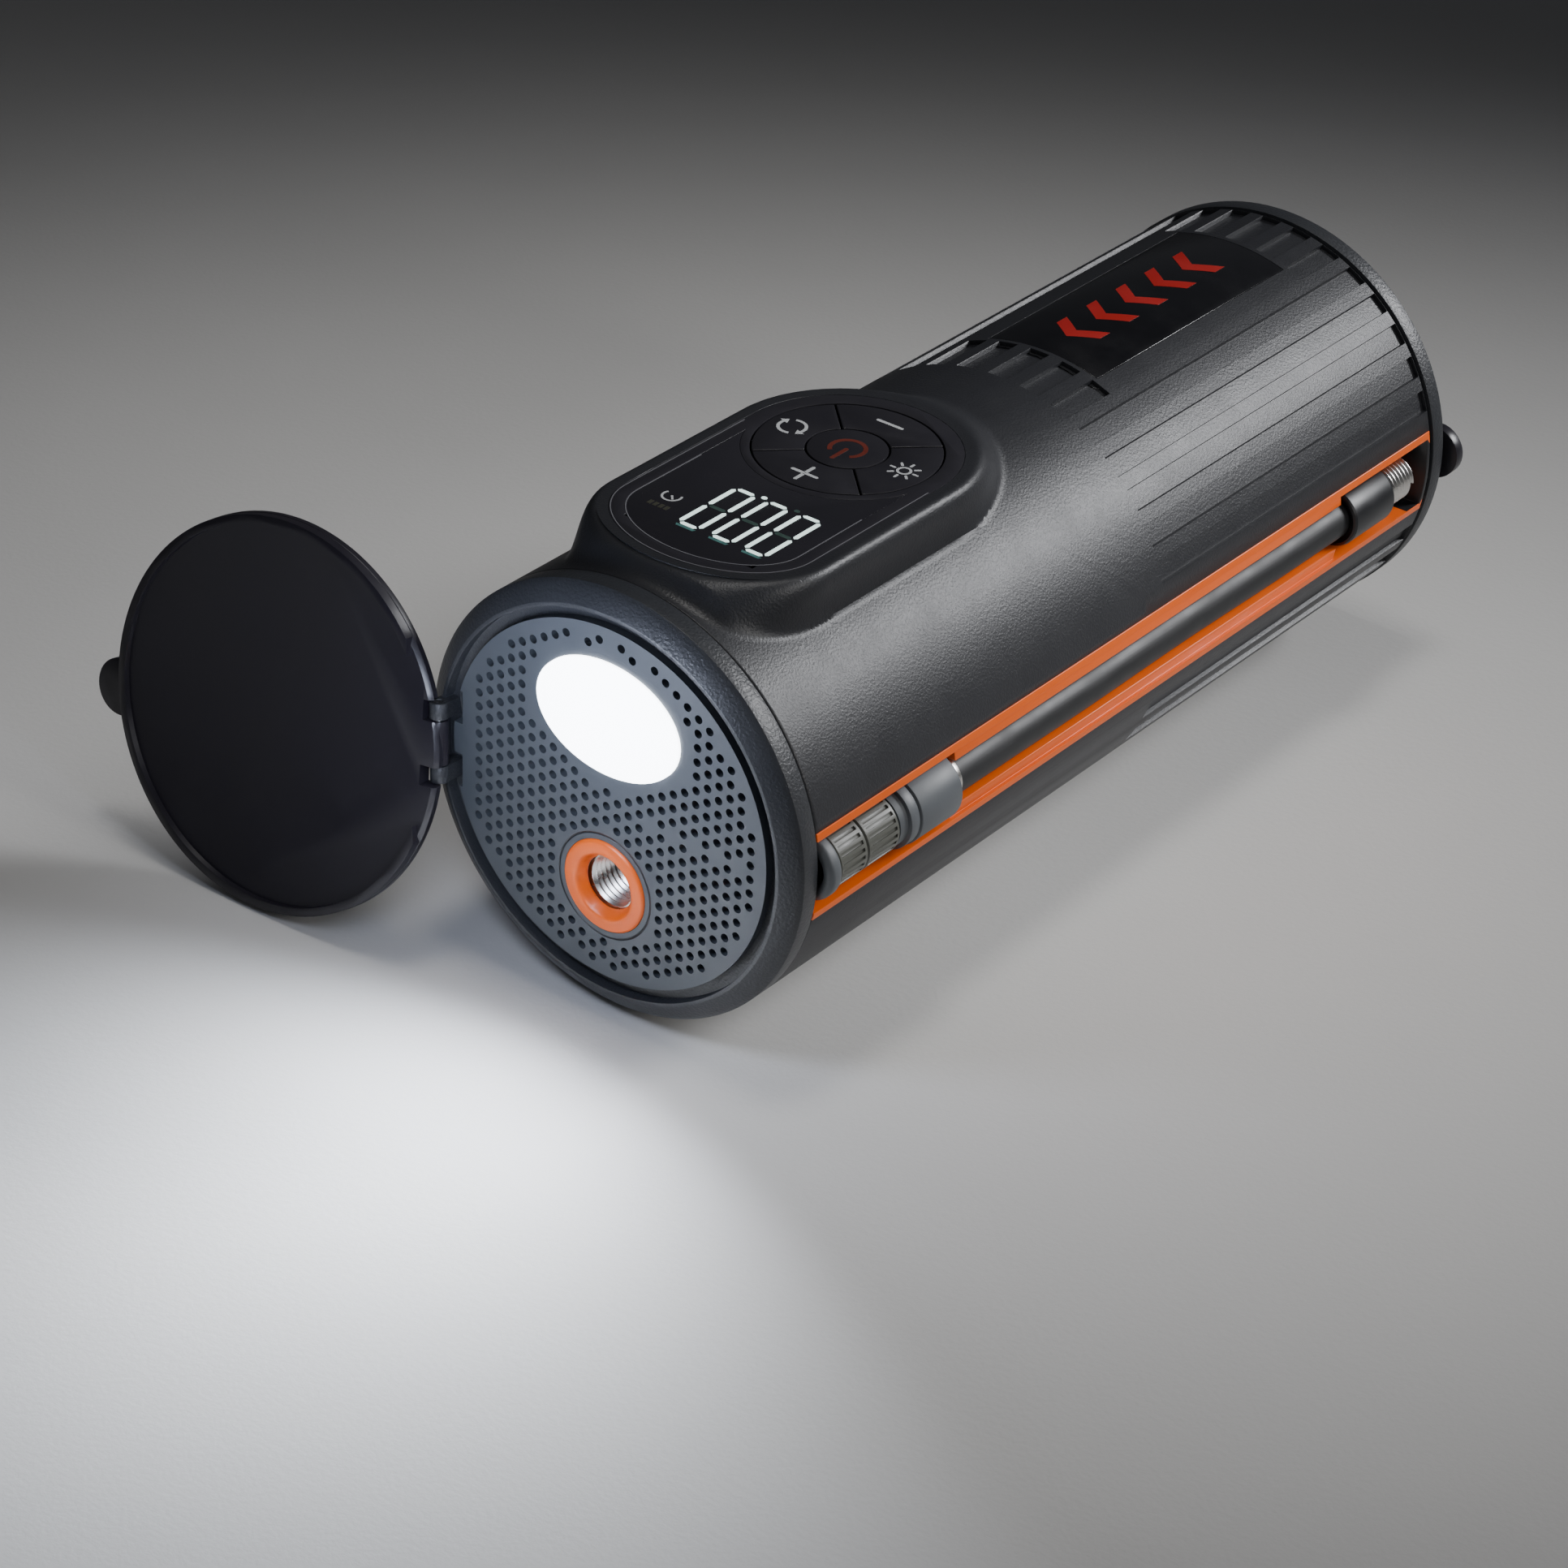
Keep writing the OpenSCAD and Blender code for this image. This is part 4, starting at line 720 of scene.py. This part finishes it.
def painted_edge_highlights():
    """Painted highlights: thin light lines along the display window's edge and the panel's rim, where those
    edges catch the light.
    """
    bm = bmesh.new()
    for inset, width, rear in ((2.8, 0.2, 43), (0.25, 0.16, 58)):
        sides = []
        for d in (inset, inset + width):
            a, b = PANEL_W - d, NOSE - d
            path = [(-a, rear), (-a, NOSE_Y + 1)]
            path += [(-a * math.cos(math.pi * i / 40), NOSE_Y - b * math.sin(math.pi * i / 40))
                     for i in range(41)]
            path += [(a, NOSE_Y + 1), (a, rear)]
            sides.append([bm.verts.new((x, y, 0)) for x, y in path])
        for a, b, c, d in zip(sides[0], sides[0][1:], sides[1][1:], sides[1]):
            bm.faces.new((a, b, c, d))
    raise_flat(bm, PANEL_TOP, FILM)
    piece("panel_edge_highlights", bm, "housing", edge_highlight_paint)


def unit_glyph():
    """A small gauge dial that stands for the pressure unit, and a row of faint charge bars."""
    lit, faint = bmesh.new(), bmesh.new()
    x, y = -11.4, 28.2
    arc_shape(lit, (x, y), 1.7, 0.4, 150, 390)
    bar_shape(lit, (x, y), (x + 0.75, y - 0.85), 0.4)
    bar_x, bar_y, bar_pitch, bar_w, bar_h = -13.2, 23.6, 1.15, 0.75, 1.3
    for i in range(4):
        polygon_shape(faint, [(bar_x + bar_pitch * i + dx, bar_y + dy) for dx, dy in
                              ((0, 0), (bar_w, 0), (bar_w, bar_h), (0, bar_h))])
    raise_flat(lit, PANEL_TOP, FILM)
    piece("unit_dial", lit, "housing", grey_ink)
    raise_flat(faint, PANEL_TOP, FILM)
    piece("charge_bars", faint, "housing", dim_ink)


def key_icons():
    """Printed signs on the keys: power, plus, minus, a lamp and a two-arrow loop."""
    away, long, thick = 12.0, 5.0, 0.72
    signs = {name: bmesh.new() for name in ("power_key", "plus_key", "minus_key", "light_key", "mode_key")}

    bm = signs["power_key"]
    arc_shape(bm, (0, KEY_Y), 3.1, 0.85, -90 + 42, 270 - 42)
    bar_shape(bm, (0, KEY_Y - 0.4), (0, KEY_Y - 4.4), 0.85)

    bm = signs["plus_key"]
    centre = KEY_Y - away
    bar_shape(bm, (-long / 2, centre), (long / 2, centre), thick)
    for side in (-1, 1):
        bar_shape(bm, (0, centre + side * thick * 0.75), (0, centre + side * long / 2), thick)

    bar_shape(signs["minus_key"], (-long / 2, KEY_Y + away), (long / 2, KEY_Y + away), thick)

    bm = signs["light_key"]
    arc_shape(bm, (away, KEY_Y), 1.15, 0.45, 0, 360)
    for i in range(8):
        c, s = math.cos(math.tau * i / 8), math.sin(math.tau * i / 8)
        bar_shape(bm, (away + 1.95 * c, KEY_Y + 1.95 * s), (away + 2.75 * c, KEY_Y + 2.75 * s), 0.5)

    bm = signs["mode_key"]
    for start in (-30, 150):
        arc_shape(bm, (-away, KEY_Y), 2.45, 0.6, start + 14, start + 142)
        tip = math.radians(start + 14)
        c, s = math.cos(tip), math.sin(tip)
        polygon_shape(bm, [(-away + r * c + t * s, KEY_Y + r * s - t * c) for r, t in
                           ((1.5, -0.02), (3.4, -0.02), (2.45, 1.25))])

    for key, bm in signs.items():
        raise_flat(bm, PANEL_TOP, FILM)
        piece(key + "_sign", bm, key, dim_red if key == "power_key" else grey_ink)


def label_mark():
    """A plain row of five chevrons along the label, in red, wrapped onto the round body."""
    count, pitch, arm, thick = 5, 9.4, 4.8, 3.2
    forward = 4                          # the row sits this far ahead of the label's middle
    middle = (label_lo.y + label_hi.y) / 2 - forward
    bm = bmesh.new()
    for i in range(count):
        y = middle + (i - (count - 1) / 2) * pitch
        tip, ends = y - 0.6, y + 3.2
        polygon_shape(bm, [(-arm, ends), (-arm, ends + thick), (0, tip + thick),
                           (arm, ends + thick), (arm, ends), (0, tip)])
    for i in range(-4, 5):
        bmesh.ops.bisect_plane(bm, geom=whole(bm), plane_co=(i + 0.01, 0, 0), plane_no=(1, 0, 0))
    raise_flat(bm, 0, FILM)
    for v in bm.verts:
        v.co = polar(BODY_R + 0.01 + v.co.z, -v.co.x, v.co.y)
    piece("label_mark", bm, "housing", red_ink)


display()
painted_edge_highlights()
unit_glyph()
key_icons()
label_mark()

# ---------- finishes of the CAD pieces that stay ----------

FINISHES = [
    (grille_abs, ["front_grille"]),
    (torch_lens, ["torch_lens"]),
    (reflector, ["torch_reflector"]),
    (phosphor, ["led_chips"]),
    (circuit_board, ["led_board", "port_board", "control_board"]),
    (steel, ["shell_screws", "front_lid_pin", "rear_lid_pin", "chuck_pin", "crank_pin", "rotor",
             "usb_c_port", "usb_a_port", "cell_links", "motor_can"]),
    (inner_abs, ["rear_plate", "battery_tray", "cooling_fan", "pressure_sensor", "display_module"]),
    (pad_rubber, ["chuck_seal", "piston_seal", "key_mat", "air_tube"]),
    (brass, ["crank_gear", "crank_bearing"]),
    (cast_metal, ["gearbox_frame", "connecting_rod", "piston", "pump_cylinder", "cylinder_head"]),
    (cell_wrap, ["battery_cells"]),
]
for material, nodes in FINISHES:
    for name in nodes:
        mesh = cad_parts[name].data
        mesh.materials.clear()
        mesh.materials.append(material)


# ---------- floor, light and camera ----------

def floor():
    """A pale paper sweep, wide enough to fill every view."""
    bm = bmesh.new()
    bmesh.ops.create_grid(bm, x_segments=8, y_segments=8, size=6)
    mesh = bpy.data.meshes.new("floor")
    bm.to_mesh(mesh)
    bm.free()
    mesh.materials.append(surface("paper_sweep", "#c2c1bf", "#c8c7c5", 0.85, 1.45, mottle_mm=60,
                                  rough_spread=0.02, grain_mm=1.2, grain_depth_mm=0.05))
    obj = bpy.data.objects.new("floor", mesh)
    bpy.context.scene.collection.objects.link(obj)


def light(name, kind, place, aim, power, colour, **settings):
    """A lamp at a place in metres, turned to aim."""
    data = bpy.data.lights.new(name, kind)
    data.energy = power
    data.color = hex_colour(colour)[:3]
    for key, value in settings.items():
        setattr(data, key, value)
    obj = bpy.data.objects.new(name, data)
    obj.location = place
    obj.rotation_euler = (Vector(aim) - Vector(place)).to_track_quat("-Z", "Y").to_euler()
    bpy.context.scene.collection.objects.link(obj)


def lights():
    """A key light behind the right side, two small ones overhead, soft fills and the torch's own light."""
    torch = TO_ROW @ Vector((0, torch_lo.y, (torch_lo.z + torch_hi.z) / 2))
    for name, place, aim, power, colour, cone, blend, soft in (
            ("key_light", (0.5, 0.68, 0.54), (0, -0.02, 0.03), 62, "#fbfcff", 27, 0.95, 0.2),
            ("rear_top_light", (-0.02, 0.05, 1.3), (-0.03, 0.05, 0), 17, "#fffdfa", 22, 1.0, 0.16),
            ("front_top_light", (0.0, -0.1, 1.3), (-0.01, -0.10, 0), 10, "#fffdfa", 22, 1.0, 0.16),
            ("right_fill", (0.8, 0.0, 0.38), (0.02, -0.03, 0.0), 15, "#fffdfa", 25, 0.95, 0.16)):
        light(name, "SPOT", place, aim, power, colour, spot_size=math.radians(cone), spot_blend=blend,
              shadow_soft_size=soft)
    light("front_fill", "AREA", (0.3, -0.95, 0.45), (0, -0.08, 0.04), 0.4, "#f4f7ff",
          shape="RECTANGLE", size=0.6, size_y=0.4)
    light("torch_glow", "AREA", torch + Vector((0, -0.004, 0)), torch + Vector((0, -0.2, -0.08)), 0.26,
          "#eef4ff", shape="ELLIPSE", size=0.028, size_y=0.02, spread=math.radians(125))
    light("torch_haze", "AREA", torch + Vector((0, -0.04, 0.01)), torch, 0.05, "#dfe8ff",
          shape="DISK", size=0.03)
    world = bpy.data.worlds.new("studio")
    world.use_nodes = True
    world.node_tree.nodes["Background"].inputs["Color"].default_value = hex_colour("#8f9196")
    world.node_tree.nodes["Background"].inputs["Strength"].default_value = 0.15
    bpy.context.scene.world = world


def camera():
    """The view from the front right, from above, with a slight roll."""
    target = Vector((-1.28, -50.6, 22.4)) * MM
    distance, azimuth, elevation, roll = 0.8, math.radians(36.62), math.radians(31.88), math.radians(2.72)
    back = Vector((math.sin(azimuth) * math.cos(elevation), -math.cos(azimuth) * math.cos(elevation),
                   math.sin(elevation)))
    right = Vector((math.cos(azimuth), math.sin(azimuth), 0))
    up = back.cross(right)
    rolled = math.cos(roll) * right + math.sin(roll) * up
    up = math.cos(roll) * up - math.sin(roll) * right
    data = bpy.data.cameras.new("camera")
    data.sensor_width = 36
    data.lens = 104.5
    data.clip_start, data.clip_end = 0.01, 50
    obj = bpy.data.objects.new("camera", data)
    turn = Matrix((rolled, up, back)).transposed().to_4x4()
    obj.matrix_world = Matrix.Translation(target + distance * back) @ turn
    bpy.context.scene.collection.objects.link(obj)
    bpy.context.scene.camera = obj


floor()
lights()
camera()
